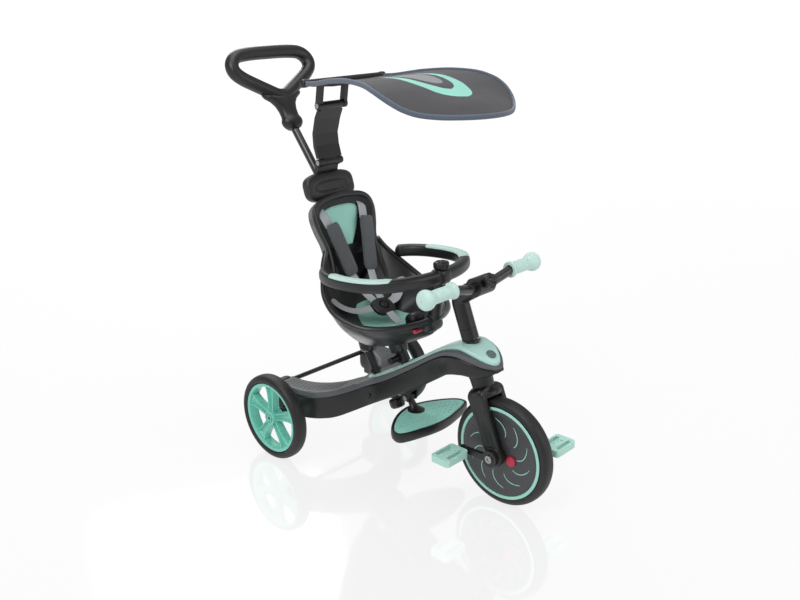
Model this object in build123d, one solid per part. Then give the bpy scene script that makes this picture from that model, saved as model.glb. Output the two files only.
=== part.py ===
from build123d import *
import math
import os

# Children's tricycle with a push handle, sun canopy and safety ring.
# Frame while modelling: X forward from the rear axle, Y to the rider's left, Z up from the ground, mm.
# save() moves everything so that the origin is under the middle of the overall length.

ORIGIN_X = 209.3          # middle of the overall length, ahead of the rear axle
FRONT_AXLE_X = 540.0
FRONT_R = 127.0           # 10 inch front wheel
REAR_R = 108.0            # 8.5 inch rear wheels
REAR_TRACK_HALF = 219.0   # centre line to the middle of a rear tyre
TYRE_HALF_WIDTH = 18.0
HEAD_X, HEAD_Z = 439.0, 366.0   # where the steering axis leaves the top of the beam
HEAD_ANGLE = 21.5         # steering axis, degrees back from vertical
CRANK_LENGTH = 79.0
CRANK_ANGLE = -3.0        # right crank, degrees above the rearward horizontal
RUNNING = 0.05            # radial clearance of a shaft in its bush
GAP = 0.5                 # clearance between moving neighbours
BEAM_HALF = 34.0
POST_TILT = 30.0          # seat posts, degrees back from vertical
BACK_TILT = 18.3          # backrest, degrees back from vertical
WALL = 4.0

STEER_UP = Vector(-math.sin(math.radians(HEAD_ANGLE)), 0, math.cos(math.radians(HEAD_ANGLE)))
STEER = Plane(origin=(HEAD_X, 0, HEAD_Z), x_dir=(STEER_UP.Z, 0, -STEER_UP.X), z_dir=STEER_UP)
POST_UP = Vector(-math.sin(math.radians(POST_TILT)), 0, math.cos(math.radians(POST_TILT)))
REAR_POST = Plane(origin=(141, 0, 197), x_dir=(POST_UP.Z, 0, -POST_UP.X), z_dir=POST_UP)
FRONT_POST = Plane(origin=(238, 0, 252), x_dir=(POST_UP.Z, 0, -POST_UP.X), z_dir=POST_UP)
BACK_UP = Vector(-math.sin(math.radians(BACK_TILT)), 0, math.cos(math.radians(BACK_TILT)))
BACK = Plane(origin=(66, 0, 508), x_dir=(0, 1, 0), z_dir=(BACK_UP.Z, 0, -BACK_UP.X))
SIDES = {"right": -1, "left": 1}


def save(name, *pieces):
    """Write one node, moved to the row frame."""
    solids = [Pos(-ORIGIN_X, 0, 0) * solid for piece in pieces for solid in piece.solids()]
    body = solids[0] if len(solids) == 1 else Compound(children=solids)
    export_step(body, f"parts/{name}.step")


def rod(start, end, radius):
    """A round bar between two points."""
    a = Vector(*start)
    b = Vector(*end)
    return Solid.make_cylinder(radius, (b - a).length, Plane(origin=a, z_dir=b - a))


def rod_y(x, z, y_low, y_high, radius):
    """A round bar along Y."""
    return rod((x, y_low, z), (x, y_high, z), radius)


def steer_rod(low, high, radius):
    """A round bar on the steering axis, between two heights along it."""
    return STEER.location * (Pos(0, 0, low) * Cylinder(radius, high - low, align=(Align.CENTER, Align.CENTER, Align.MIN)))


def side_slab(points, y_low, y_high, corner=0.0):
    """A slab with the given XZ outline, from y_low to y_high."""
    edge = FilletPolyline(*points, radius=corner, close=True) if corner else Polyline(*points, close=True)
    return Plane.XZ.offset(-y_high) * extrude(make_face(edge), amount=y_high - y_low)


def curve_slab(curve, rest, y_low, y_high):
    """A slab whose XZ outline is a long top line closed by the points of the rest."""
    return side_slab([*curve, *rest], y_low, y_high)


def tube(points, radii, radius):
    """A round tube along straight runs joined by arcs."""
    path = FilletPolyline(*points, radius=radii)
    return sweep(Plane(origin=path @ 0, z_dir=path % 0) * Circle(radius), path=path)


def turned_y(profile, x, z):
    """Revolve a (radius, y) profile about the Y axis through x, z."""
    face = make_face(Polyline(*profile, close=True))
    return Pos(x, 0, z) * revolve(Plane.XY * face, axis=Axis.Y)


# ---------------------------------------------------------------- frame
def plan_outline(half_mid, half_head, nose_x, rear_x, inset=0.0):
    """The frame's outline seen from above; rear_x is where the arms end, or None without arms."""
    if rear_x is not None:
        tail = [(rear_x, 126), (rear_x, 176 - inset), (20 - inset * 0.1, 176 - inset), (62 - inset * 0.5, 166 - inset)]
        tail += [(98 - inset * 0.8, 132 - inset * 0.8), (122 - inset, 84 - inset * 0.3), (160, half_mid + 6)]
    else:
        tail = [(118, 6), (124, half_mid - 6), (150, half_mid)]
    head = [(330, half_mid), (380, half_mid + 8), (420, half_head), (455, half_head)]
    nose = [(482, half_head * 0.84), (504, half_head * 0.6), (nose_x - 8, half_head * 0.3), (nose_x, 0)]
    left = [*tail, *head, *nose]
    right = [(x, -y) for x, y in reversed(left[:-1])]
    return [*left, *right]


def plan_slab(points, z_low, z_high):
    """A slab with the given outline seen from above."""
    return Pos(0, 0, z_low) * extrude(make_face(Polyline(*points, close=True)), amount=z_high - z_low)


CROWN = [(100, 177), (137, 193), (186, 220), (234, 249), (300, 291), (348, 323), (395, 350), (439, 364), (475, 358), (505, 341), (530, 320)]
BAND_TOP = [(-40, 175), (60, 174), (110, 177), (150, 194), (190, 214), (240, 244), (300, 283), (348, 315), (395, 341), (439, 355), (475, 348), (505, 331), (534, 310)]
SHELL_TOP = [(-40, 161), (60, 160), (110, 162), (150, 178), (190, 198), (240, 229), (300, 269), (348, 302), (395, 329), (439, 342), (475, 335), (505, 320), (537, 304)]
SHELL_FOOT = [(520, 299), (452, 302), (420, 296), (365, 258), (296, 208), (140, 118), (103, 101), (-40, 101)]
HORSESHOE = Pos(-30, 0, 90) * Cylinder(124, 400)
BEAM_KNOB = Plane(origin=(205, 0, 147), x_dir=(0, 1, 0), z_dir=(0.42, 0, -0.907))


def knob_rod(low, high, radius):
    """A round bar on the axis of the knob under the beam."""
    body = Cylinder(radius, high - low, align=(Align.CENTER, Align.CENTER, Align.MIN))
    return BEAM_KNOB.location * (Pos(0, 0, low) * body)


def head_bore(radius):
    """The hole for the steerer through the head."""
    return steer_rod(-140, 60, radius)


def post_holes(clearance):
    """The holes that the two seat posts slide in."""
    return [plane.location * (Pos(0, 0, -56) * extrude(post_section(clearance), amount=120)) for plane in (REAR_POST, FRONT_POST)]


def post_section(clearance=0.0):
    """The flattened double-rib section of a seat post."""
    return SlotOverall(24 + 2 * clearance, 15 + 2 * clearance)


def frame_shell():
    """The moulded lower chassis: beam, head tube and the horseshoe of rear arms."""
    side = curve_slab(SHELL_TOP, SHELL_FOOT, -190, 190)
    outer = plan_slab(plan_outline(BEAM_HALF, 55, 538, -36), 60, 420)
    body = side & outer
    ceiling = [(x, z - WALL - 2) for x, z in SHELL_TOP]
    cavity = curve_slab(ceiling, [(520, 296), (452, 297), (420, 291), (365, 250), (296, 200), (140, 108), (103, 91), (-40, 91)], -190, 190)
    inner = plan_outline(BEAM_HALF - WALL, 46, 500, -30, WALL)
    cavity = (cavity & plan_slab(inner, 60, 420)) - (Pos(-30, 0, 90) * Cylinder(129, 400))
    body -= cavity
    for plane in (REAR_POST, FRONT_POST):
        body += plane.location * (Pos(0, 0, -58) * extrude(SlotOverall(34, 24), amount=50)) & side
    body += side_slab([(180, 141), (285, 202), (285, 212), (180, 151)], -40, 40) & side & outer
    body += knob_rod(-14, -0.6, 13)
    body -= HORSESHOE
    body += steer_rod(-109, -48, 24)
    for sign in SIDES.values():
        body += end_housing(sign)
    for side_sign in SIDES.values():
        body += rod_y(0, REAR_R, min(side_sign * 150, side_sign * 197), max(side_sign * 150, side_sign * 197), 15)
        body -= rod_y(0, REAR_R, min(side_sign * 140, side_sign * 198), max(side_sign * 140, side_sign * 198), 5)
    body -= head_bore(17)
    for hole in post_holes(0.4):
        body -= hole
    for x, z in ((153, 150), (317, 252)):
        body -= rod_y(x, z, -60, 60, 2.6)
    body -= knob_rod(-30, 2, 6)
    for sign in SIDES.values():
        body -= rod_y(-46, 160, min(sign * 120, sign * 136.2), max(sign * 120, sign * 136.2), 6 + RUNNING)
    return body


def frame_band():
    """The ribbed grey deck that covers the chassis and the arms."""
    side = curve_slab(BAND_TOP, [SHELL_TOP[-1], *reversed(SHELL_TOP[1:-1]), SHELL_TOP[0]], -190, 190)
    body = side & plan_slab(plan_outline(BEAM_HALF - 2, 54, 534, -33.6), 60, 420)
    body -= HORSESHOE
    body -= head_bore(17)
    for hole in post_holes(0.4):
        body -= hole
    return body


def top_cover():
    """The mint strip that widens into the head cover."""
    side = curve_slab(CROWN, [(560, 300), (560, 60), (60, 60)], -100, 100)
    side -= curve_slab(BAND_TOP, [(580, 290), (580, 50), (-60, 50)], -200, 200)
    body = side & plan_slab(plan_outline(22, 41, 518, None), 60, 420)
    body -= head_bore(22)
    for hole in post_holes(0.4):
        body -= hole
    body -= PLUG.location * Cylinder(11.05, 3)
    return max(body.solids(), key=lambda solid: solid.volume)


def end_housing(sign):
    """The rounded black cap that closes the rear end of an arm."""
    block = Box(24, 46, 44)
    block = fillet(block.edges().group_by(Axis.X)[0], 9)
    return Pos(-46, sign * 151, 150) * block


def cross_rod():
    """The steel rod that ties the two arm ends together."""
    return rod_y(-46, 160, -136, 136, 6)


def head_bush(low, high, outer, flange):
    """A flanged bush that carries the steerer."""
    body = steer_rod(low, high, outer) + steer_rod(high - 3, high, flange)
    return body - steer_rod(low - 5, high + 5, 14 + RUNNING)


PLUG = Plane(origin=(499, 0, 344.5), x_dir=(0, 1, 0), z_dir=(0.55, 0, 0.835))


def head_plug():
    """The plain round plug on the nose."""
    body = Cylinder(11, 3) - Pos(0, 0, 1.2) * (Cylinder(8, 2) - Cylinder(6, 2))
    return PLUG.location * body


# ---------------------------------------------------------------- wheels
def rear_tyre(sign):
    """A solid tyre with a rounded tread."""
    w = TYRE_HALF_WIDTH
    y = sign * REAR_TRACK_HALF
    profile = [(88, y - 13), (96, y - w), (102, y - w + 2), (REAR_R - 1.5, y - 9), (REAR_R, y - 3), (REAR_R, y + 3), (REAR_R - 1.5, y + 9), (102, y + w - 2), (96, y + w), (88, y + 13)]
    return turned_y(profile, 0, REAR_R)


def rear_hub(sign):
    """The five-spoke wheel: rim barrel, channel spokes and hub."""
    y = sign * REAR_TRACK_HALF
    outer = sign * (REAR_TRACK_HALF + 14)
    rim = turned_y([(87.9, y - 14), (87.9, y + 14), (81, y + 14), (78, y), (81, y - 14)], 0, REAR_R)
    boss = rod_y(0, REAR_R, y - 17, y + 17, 15)
    body = rim + boss
    for k in range(5):
        angle = math.radians(90 + 72 * k)
        spoke = Pos(47, y, 0) * Box(70, 16, 22) - Pos(47, outer - sign * 6, 0) * Box(56, 12.5, 14)
        body += Pos(0, 0, REAR_R) * (Rot(0, -math.degrees(angle), 0) * spoke)
    body -= rod_y(0, REAR_R, y - 30, y + 30, 5 + RUNNING)
    body -= rod_y(0, REAR_R, min(outer - sign * 3, outer + sign * 9), max(outer - sign * 3, outer + sign * 9), 9)
    return body


def rear_axle(sign):
    """A stub axle with its head in the hub recess."""
    y = sign * (REAR_TRACK_HALF + 11.5)
    body = rod((0, sign * 142, REAR_R), (0, y, REAR_R), 5)
    body += rod((0, y, REAR_R), (0, y + sign * 4, REAR_R), 8)
    return body - rod((0, y + sign * 2, REAR_R), (0, y + sign * 5, REAR_R), 3)


def front_tyre():
    """The solid front tyre."""
    w = TYRE_HALF_WIDTH + 0.5
    profile = [(105, -14), (114, -w), (120, -w + 2), (FRONT_R - 1.5, -9), (FRONT_R, -3), (FRONT_R, 3), (FRONT_R - 1.5, 9), (120, w - 2), (114, w), (105, 14)]
    return turned_y(profile, FRONT_AXLE_X, FRONT_R)


def front_disc():
    """The closed front wheel, with the pocket of its button."""
    half = [(104.8, 13), (104.8, 15), (100, 18.4), (24, 18.4), (14, 20), (6, 20)]
    profile = [*half, *[(r, -y) for r, y in reversed(half)]]
    body = turned_y(profile, FRONT_AXLE_X, FRONT_R)
    return body - rod_y(575, 121, -30, -15, 12.08)


def front_trim(sign):
    """The thin ring and the curved strokes printed in relief on a disc."""
    profile = [(102, sign * 18.6), (105.2, sign * 16.4), (109.4, sign * 18.6), (108.4, sign * 19.6), (102.4, sign * 20.4)]
    return turned_y(profile, FRONT_AXLE_X, FRONT_R)


def front_axle():
    """The crank spindle that turns with the wheel."""
    return rod_y(FRONT_AXLE_X, FRONT_R, -54, 54, 6)


def crank_end(sign):
    """Where a crank carries its pedal."""
    angle = math.radians(CRANK_ANGLE)
    return FRONT_AXLE_X + sign * CRANK_LENGTH * math.cos(angle), FRONT_R - sign * CRANK_LENGTH * math.sin(angle)


def crank(sign):
    """A crank arm with its round hub."""
    x, z = crank_end(sign)
    y_in, y_out = sign * 44, sign * 54
    body = rod((FRONT_AXLE_X, y_in, FRONT_R), (FRONT_AXLE_X, y_out, FRONT_R), 19)
    body += rod((x, y_in, z), (x, y_out, z), 9)
    arm = Box(CRANK_LENGTH, 10, 14)
    middle = ((x + FRONT_AXLE_X) / 2, (y_in + y_out) / 2, (z + FRONT_R) / 2)
    body += Pos(*middle) * (Rot(0, CRANK_ANGLE, 0) * arm)
    body -= rod_y(FRONT_AXLE_X, FRONT_R, min(y_in, y_out) - 1, max(y_in, y_out) + 1, 6)
    body -= rod((x, y_in, z), (x, y_out + sign * 5, z), 4)
    return body


def crank_bolt(sign):
    """The bolt that closes a crank on the spindle."""
    body = rod((FRONT_AXLE_X, sign * 54, FRONT_R), (FRONT_AXLE_X, sign * 57, FRONT_R), 9)
    return body - rod((FRONT_AXLE_X, sign * 55, FRONT_R), (FRONT_AXLE_X, sign * 58, FRONT_R), 4)


def pedal_spindle(sign):
    """The pin that a pedal turns on."""
    x, z = crank_end(sign)
    return rod((x, sign * 44, z), (x, sign * 124, z), 4)


def pedal(sign):
    """A pedal frame with two openings and a bored middle bar."""
    x, z = crank_end(sign)
    body = Box(51, 73, 16)
    body = fillet(body.edges().filter_by(Axis.Z), 8)
    for dx in (-15.5, 15.5):
        body -= Pos(dx, 0, 0) * Box(10, 50, 20)
    body -= Pos(0, 0, 8) * Box(14, 30, 3)
    body = Pos(x, sign * 94, z) * body
    body -= rod((x, sign * 50, z), (x, sign * 126, z), 4 + RUNNING)
    return body


def hub_button():
    """The round button that frees the pedals from the wheel."""
    return rod_y(575, 121, -22, -17.2, 12)


# ---------------------------------------------------------------- steering
def fork():
    """Fork crown and two blades, with a bored boss at each end."""
    body = steer_rod(-127, -109.6, 24)
    crown = STEER.location * (Pos(0, 0, -121) * Box(46, 78, 12))
    body += fillet(crown.edges().filter_by(Axis.Y), 5)
    top = Vector(HEAD_X, 0, HEAD_Z) + STEER_UP * -116
    for sign in SIDES.values():
        y_in, y_out = sign * 22.5, sign * 39
        low, high = sorted((y_in, y_out))
        blade = side_slab([(top.X - 22, top.Z - 8), (top.X + 20, top.Z + 9), (560, 146), (550, 112), (526, 112), (514, 136)], low, high)
        body += blade
        body += rod_y(FRONT_AXLE_X, FRONT_R, min(y_in, sign * 43), max(y_in, sign * 43), 23)
        body -= side_slab([(494, 236), (508, 242), (532, 158), (520, 154)], min(sign * 36, sign * 42), max(sign * 36, sign * 42))
    body -= rod_y(FRONT_AXLE_X, FRONT_R, -60, 60, 9)
    body -= steer_rod(-128, -100, 10)
    return body


def axle_bush(sign):
    """A bush in a fork boss."""
    low, high = sorted((sign * 22.5, sign * 43))
    return rod_y(FRONT_AXLE_X, FRONT_R, low, high, 9) - rod_y(FRONT_AXLE_X, FRONT_R, low - 1, high + 1, 6 + RUNNING)


def steerer():
    """The steel tube that runs from the fork through the head."""
    return steer_rod(-109.6, 58, 14) + steer_rod(-127, -109.6, 10) - steer_rod(-130, 60, 8)


def stem_collar():
    """The split lower collar of the stem."""
    body = steer_rod(3, 27, 19.5) - steer_rod(0, 30, 14)
    return body - STEER.location * (Pos(-17, 0, 15) * Box(10, 1.5, 30))


def stem():
    """The bent stem that carries the handlebar clamp."""
    low = Vector(HEAD_X, 0, HEAD_Z) + STEER_UP * 27.6
    knee = Vector(HEAD_X, 0, HEAD_Z) + STEER_UP * 100
    clamp = Vector(463, 0, 500)
    body = tube([low, knee, clamp], 20, 19.5)
    body += rod_y(463, 500, -26, 26, 21)
    body -= steer_rod(20, 58.4, 14)
    body -= rod_y(463, 500, -40, 40, 11.05)
    return body - BAR_KNOB.location * Cylinder(5, 30)


def handlebar():
    """The bar: a clamped middle, two rises and two straight ends."""
    points = [(466, -184, 513), (466, -104, 513), (463, -44, 500), (463, 44, 500), (466, 104, 513), (466, 184, 513)]
    return tube(points, 30, 11)


def grip(sign):
    """A soft grip with a flange and a bulb end."""
    profile = [(11, 96), (17, 96), (18.5, 99), (17, 103), (14.5, 107), (14.5, 160), (18, 168), (22, 176), (22, 184), (17, 191), (8, 194), (2, 194), (2, 184.2), (11, 184.2)]
    profile = [(r, sign * y) for r, y in profile]
    return turned_y(profile, 466, 513)


def lobed_knob(plane, radius, thickness, lobes):
    """A clamp knob with shallow finger lobes and a domed middle."""
    body = Cylinder(radius * 0.86, thickness, align=(Align.CENTER, Align.CENTER, Align.MIN))
    for k in range(lobes):
        angle = 360 / lobes * k
        body += Rot(0, 0, angle) * (Pos(radius * 0.7, 0, 0) * Cylinder(radius * 0.3, thickness, align=(Align.CENTER, Align.CENTER, Align.MIN)))
    body += Pos(0, 0, thickness) * Cylinder(radius * 0.5, 3, align=(Align.CENTER, Align.CENTER, Align.MIN))
    return plane.location * body


BAR_KNOB = Plane(origin=(481.6, 0, 512), x_dir=(0, 1, 0), z_dir=(0.84, 0, 0.543))


def bar_knob():
    """The clamp knob of the handlebar with its stud."""
    body = lobed_knob(BAR_KNOB, 17, 13, 6)
    return body + BAR_KNOB.location * (Pos(0, 0, -5) * Cylinder(4.95, 10))


# ---------------------------------------------------------------- seat carrier
CLAMP_X, CLAMP_Z = 226.0, 264.0


def seat_post(plane, length):
    """A ribbed oval post that slides in the beam."""
    return plane.location * (Pos(0, 0, -50) * extrude(post_section(), amount=length + 50))


def post_foot(plane, height):
    """The collar where a post enters the beam cover."""
    ring = extrude(SlotOverall(34, 24) - SlotOverall(25, 16), amount=height)
    return plane.location * (Pos(0, 0, 3.5) * ring) - rod_y(CLAMP_X, CLAMP_Z, -20, -8, 3 + RUNNING)


def clamp_handle():
    """The cross handle that pinches the front post, with its pivot."""
    body = rod_y(CLAMP_X, CLAMP_Z, -40, -15, 8) + rod_y(CLAMP_X, CLAMP_Z, -15.2, -12.4, 10)
    return body + rod_y(CLAMP_X, CLAMP_Z, -13, -8.6, 3)


# ---------------------------------------------------------------- seat
def seat_bucket():
    """The bucket: a rounded tub with a sloping rim and a tip that holds the ring's tube."""
    rim = [(58, 0), (60, 70), (90, 128), (140, 158), (190, 160), (240, 140), (290, 90), (325, 40), (338, 0)]
    outline = [*rim, *[(x, -y) for x, y in reversed(rim[1:-1])]]
    body = plan_slab(outline, 262, 500)
    profile = [(58, 500), (66, 478), (110, 440), (165, 402), (214, 386), (270, 378), (338, 388), (338, 362), (300, 338), (240, 302), (150, 266), (96, 262), (66, 292), (52, 360)]
    body = body & side_slab(profile, -200, 200)
    under = [(0, 264), (60, 274), (100, 300), (130, 335), (152, 380), (160, 500)]
    section = [(-y, z) for y, z in reversed(under[1:])] + under + [(160, 520), (-160, 520)]
    bowl = Plane.YZ * extrude(make_face(Polyline(*section, close=True)), amount=400)
    body = body & bowl
    inner = [(x * 0.93 + 13, y * 0.89) for x, y in outline]
    inner = [(min(x, 296), y) for x, y in inner]
    tub = plan_slab(inner, 312, 520)
    slope = side_slab([(40, 352), (170, 322), (300, 364), (360, 520), (40, 520)], -200, 200)
    inner_section = [(-128, 520), (-128, 400), (-96, 350), (-60, 318), (60, 318), (96, 350), (128, 400), (128, 520)]
    trough = Plane.YZ * extrude(make_face(Polyline(*inner_section, close=True)), amount=400)
    return body - (tub & slope & trough)


def back_outline(scale_in):
    """Half outline of the backrest in its own plane, u across and v up the back."""
    half = [(0, -130), (70, -130), (78, -60), (76, -20), (84, 20), (98, 70), (98, 95), (84, 118), (50, 128), (0, 131)]
    half = [(u - scale_in if u else 0, v - (scale_in if v > 100 else 0)) for u, v in half]
    return [*half, *[(-u, v) for u, v in reversed(half[1:-1])]]


def seat_back():
    """The backrest shell with a rolled edge and a hollow front."""
    blank = BACK * extrude(make_face(Polyline(*back_outline(0), close=True)), amount=44)
    blank = Pos(-30, 0, -12) * blank
    hollow = BACK * extrude(make_face(Polyline(*back_outline(12), close=True)), amount=60)
    hollow = Pos(-20, 0, -9) * hollow
    body = blank - hollow
    return body - plan_slab([(30, -170), (400, -170), (400, 170), (30, 170)], 200, 420)


SHAFT_TOP = Vector(-147, 0, 787)
SHAFT_FOOT = Vector(-26, 0, 634.8)
SHAFT_UP = (SHAFT_TOP - SHAFT_FOOT).normalized()
SHAFT = Plane(origin=SHAFT_FOOT, x_dir=(0, 1, 0), z_dir=SHAFT_UP)


def shaft_rod(low, high, radius):
    """A round bar on the push handle's axis."""
    return SHAFT.location * (Pos(0, 0, low) * Cylinder(radius, high - low, align=(Align.CENTER, Align.CENTER, Align.MIN)))


def in_back(shape, depth):
    """Place a flat shape drawn in backrest coordinates at a depth in front of the back plane."""
    return BACK.location * (Pos(0, 0, depth) * shape)


def ring_socket():
    """The blind hole in the seat tip for the ring's spigot."""
    return rod((RING_FOOT.X, 0, RING_FOOT.Z), tuple(RING_FOOT - RING_UP * 32), 9 + RUNNING)


def seat_shell():
    """Bucket and backrest moulded as one shell."""
    body = seat_bucket() + seat_back()
    body -= in_back(extrude(make_face(Polyline(*back_outline(12), close=True)), amount=60), -22)
    body += pommel() + shaft_rod(-70, 0, 14)
    body -= shaft_rod(-66, 4, 10 + RUNNING)
    body -= ring_socket()
    body -= rod_y(317, 368, -60, -27, 5.08)
    for plane, depth in ((REAR_POST, 84.5), (FRONT_POST, 28.5)):
        body -= plane.location * (Pos(0, 0, 20) * extrude(post_section(0.02), amount=depth + 0.02))
    return max(body.solids(), key=lambda solid: solid.volume)


def back_liner():
    """The black liner in the backrest."""
    pad = extrude(make_face(Polyline(*back_outline(12.6), close=True)), amount=14)
    body = in_back(pad, -21.8) - plan_slab([(30, -170), (400, -170), (400, 170), (30, 170)], 200, 470)
    return max((body - shaft_rod(-72, 4, 14.4)).solids(), key=lambda solid: solid.volume)


def back_insert():
    """The mint drop-shaped panel of the backrest."""
    half = [(0, -6), (14, 4), (34, 50), (50, 90), (44, 103), (24, 108), (0, 109)]
    outline = [*half, *[(-u, v) for u, v in reversed(half[1:-1])]]
    return in_back(extrude(make_face(Polyline(*outline, close=True)), amount=5), -7.6)


def seat_pad():
    """The mint panel of the seat."""
    half = [(112, 0), (118, 52), (150, 60), (205, 54), (236, 30), (244, 0)]
    outline = [*half, *[(x, -y) for x, y in reversed(half[1:-1])]]
    body = plan_slab(outline, 300, 420)
    return body & side_slab([(60, 348.5), (170, 322.5), (300, 364.5), (300, 369.5), (170, 327.5), (60, 353.5)], -100, 100)


def pommel():
    """The raised black pommel between the legs."""
    block = Box(36, 44, 30)
    block = fillet(block.edges().filter_by(Axis.Z), 12)
    return Pos(268, 0, 364) * (Rot(0, -15, 0) * block)


def headrest():
    """The padded headrest above the backrest."""
    half = [(0, 131.6), (54, 131.6), (68, 142), (73, 160), (68, 178), (50, 186), (0, 188)]
    outline = [*half, *[(-u, v) for u, v in reversed(half[1:-1])]]
    body = in_back(extrude(make_face(Polyline(*outline, close=True)), amount=36), -52)
    body -= in_back(Pos(0, 159, 0) * extrude(SlotOverall(96, 22) - SlotOverall(92, 18), amount=2), -17)
    return body - shaft_rod(-80, 120, 15)


def push_shaft():
    """The tube of the push handle."""
    return shaft_rod(-65, 215, 10) - shaft_rod(-66, 210, 8.5)


LOOP = Plane(origin=(-147, 0, 787), x_dir=(0, 1, 0), z_dir=(math.cos(math.radians(27)), 0, math.sin(math.radians(27))))


def push_grip():
    """The rounded-triangle loop and its neck."""
    corners = [(0, 66), (136, 142), (112, 186), (-112, 186), (-136, 142)]
    path = FilletPolyline(*corners, radius=[44, 24, 40, 40, 24], close=True)
    path = LOOP.location * path
    start = path.edges()[0]
    body = sweep(Plane(origin=start @ 0, z_dir=start % 0) * Circle(17), path=path)
    neck = loft([SHAFT.offset(194).location * Ellipse(27, 17), SHAFT.offset(225).location * Ellipse(20, 15.5), LOOP.location * (Pos(0, 62, 0) * Rot(90, 0, 0) * Ellipse(34, 15))])
    body += neck
    return body - shaft_rod(100, 215.4, 10.0)


def canopy_bracket():
    """The lower bracket on the headrest, with two hinge ears."""
    body = side_slab([(-38, 668), (-24, 668), (-16, 699), (-27, 699)], -33, 33) - headrest_block()
    for low, high in ((-37, -20.5), (20.5, 37)):
        body += rod_y(-11, 709, low, high, 9)
        body += side_slab([(-27, 697), (-15, 697), (-8, 705), (-18, 711)], low, high)
    return body - rod_y(-11, 709, -60, 60, 4 + RUNNING)


def headrest_block():
    """The headrest's space, cut out of the bracket."""
    half = [(0, 120), (80, 120), (80, 188), (0, 188)]
    outline = [*half, *[(-u, v) for u, v in reversed(half[1:-1])]]
    return in_back(extrude(make_face(Polyline(*outline, close=True)), amount=80), -52)


def canopy_arm():
    """The S-bent arm between the two canopy hinges."""
    side = [(-16, 715), (-7, 716), (-17, 748), (-20, 775), (-9, 812), (3, 838), (-5, 842), (-19, 815), (-29, 776), (-27, 746)]
    body = side_slab(side, -37, 37)
    body += rod_y(-11, 709, -20, 20, 9)
    body -= rod_y(-11, 709, -60, -20.2, 10.5) + rod_y(-11, 709, 20.2, 60, 10.5)
    body += rod_y(1, 845, -33, 33, 9)
    body -= rod_y(1, 845, -60, -33.2, 13) + rod_y(1, 845, 33.2, 60, 13)
    body -= rod_y(-11, 709, -60, 60, 4)
    return body - rod_y(1, 845, -60, 60, 4)


def hinge_pin(x, z, half):
    """A headed hinge pin."""
    return rod_y(x, z, -half, half, 4) + rod_y(x, z, -half - 2, -half, 6) + rod_y(x, z, half, half + 2, 6)


def canopy_carrier():
    """The two knuckle legs and the plate under the canopy bar."""
    body = side_slab([(-8, 889), (64, 895), (64, 901), (-8, 895)], -52, 52)
    for sign in SIDES.values():
        low, high = sorted((sign * 33.6, sign * 44))
        body += rod_y(1, 845, low, high, 10)
        body += side_slab([(-7, 848), (9, 848), (16, 893), (0, 891)], low, high)
    body -= rod_y(1, 845, -60, 60, 4 + RUNNING)
    return body - rod_y(48, 906, -200, 200, 8)


CANOPY = [
    (52, 122, 905, 903), (90, 126, 909, 900), (169, 144, 921, 908), (230, 162, 927, 918), (290, 178, 925, 920), (345, 187, 911, 909),
    (380, 180, 893, 901), (410, 158, 876, 897), (445, 118, 869, 888), (480, 68, 867, 875), (500, 30, 867, 869),
]


def canopy_section(x, half, z_edge, z_mid, thickness):
    """One thin curved strip across the canopy."""
    low = [(-half, z_edge), (0, z_mid), (half, z_edge)]
    high = [(y, z + thickness) for y, z in low]
    edges = Curve() + [
        ThreePointArc(*low), Line(low[2], high[2]), ThreePointArc(*reversed(high)), Line(high[0], low[0]),
    ]
    return Plane.YZ.offset(x) * make_face(edges)


def canopy_cloth():
    """The stretched sun canopy as one thin curved sheet."""
    body = loft([canopy_section(*station, 2.4) for station in CANOPY], ruled=True)
    body -= rod_y(48, 906, -200, 200, 9)
    return body - side_slab([(-8, 880), (66, 895), (66, 901.6), (-8, 896)], -53, 53)


def canopy_bar():
    """The cross bar at the rear of the canopy, with its end caps."""
    body = rod_y(48, 906, -124, 124, 7.9)
    return body + rod_y(48, 906, -130, -118, 9) + rod_y(48, 906, 118, 130, 9)


# ---------------------------------------------------------------- safety ring
RING_FOOT = Vector(330, 0, 391)
RING_UP = Vector(11, 0, 88).normalized()
RING = Plane(origin=(0, 0, 472), x_dir=(math.cos(math.radians(4)), 0, math.sin(math.radians(4))), z_dir=(-math.sin(math.radians(4)), 0, math.cos(math.radians(4))))
RING_CORNERS = [(96, -116), (128, -150), (190, -168), (276, -160), (340, -100), (352, 0), (340, 100), (276, 160), (190, 168), (128, 150), (96, 116)]


def ring_path():
    """The ring's centre line in its own tilted plane."""
    return FilletPolyline(*RING_CORNERS, radius=34)


def safety_ring():
    """The padded ring that is open behind the child."""
    path = RING.location * ring_path()
    start = path.edges()[0]
    section = Plane(origin=path @ 0, z_dir=path % 0, x_dir=(RING.z_dir.X, RING.z_dir.Y, RING.z_dir.Z)) * RectangleRounded(27, 30, 10)
    body = sweep(section, path=path)
    for sign in SIDES.values():
        body -= ring_insert(sign)
    return body - ring_sleeve_space()


def ring_insert(sign):
    """The mint top panel of one side of the ring."""
    corners = [(150, 156.5), (190, 168), (276, 160), (322, 119)]
    edge = [(x, sign * (y + 16)) for x, y in corners] + [(x, sign * (y - 16)) for x, y in reversed(corners)]
    face = make_face(Polyline(*edge, close=True))
    return RING.location * (Pos(0, 0, 9.5) * extrude(face, amount=6))


def ring_sleeve_space():
    """The room that the clamp takes on the ring's front."""
    return RING.location * (Pos(352, 0, 0) * Box(60, 30, 60))


def ring_tee():
    """The tube that carries the ring, with its clamp and its spigot."""
    top = RING_FOOT + RING_UP * 92
    body = rod(tuple(RING_FOOT + RING_UP * 0.6), tuple(top), 15)
    body += RING.location * (Pos(352, 0, 0) * Box(36, 29.6, 34))
    body += rod(tuple(RING_FOOT - RING_UP * 31), tuple(RING_FOOT + RING_UP * 2), 9)
    return body - ring_knob_axis(-10, 20, 4 + RUNNING)


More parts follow.
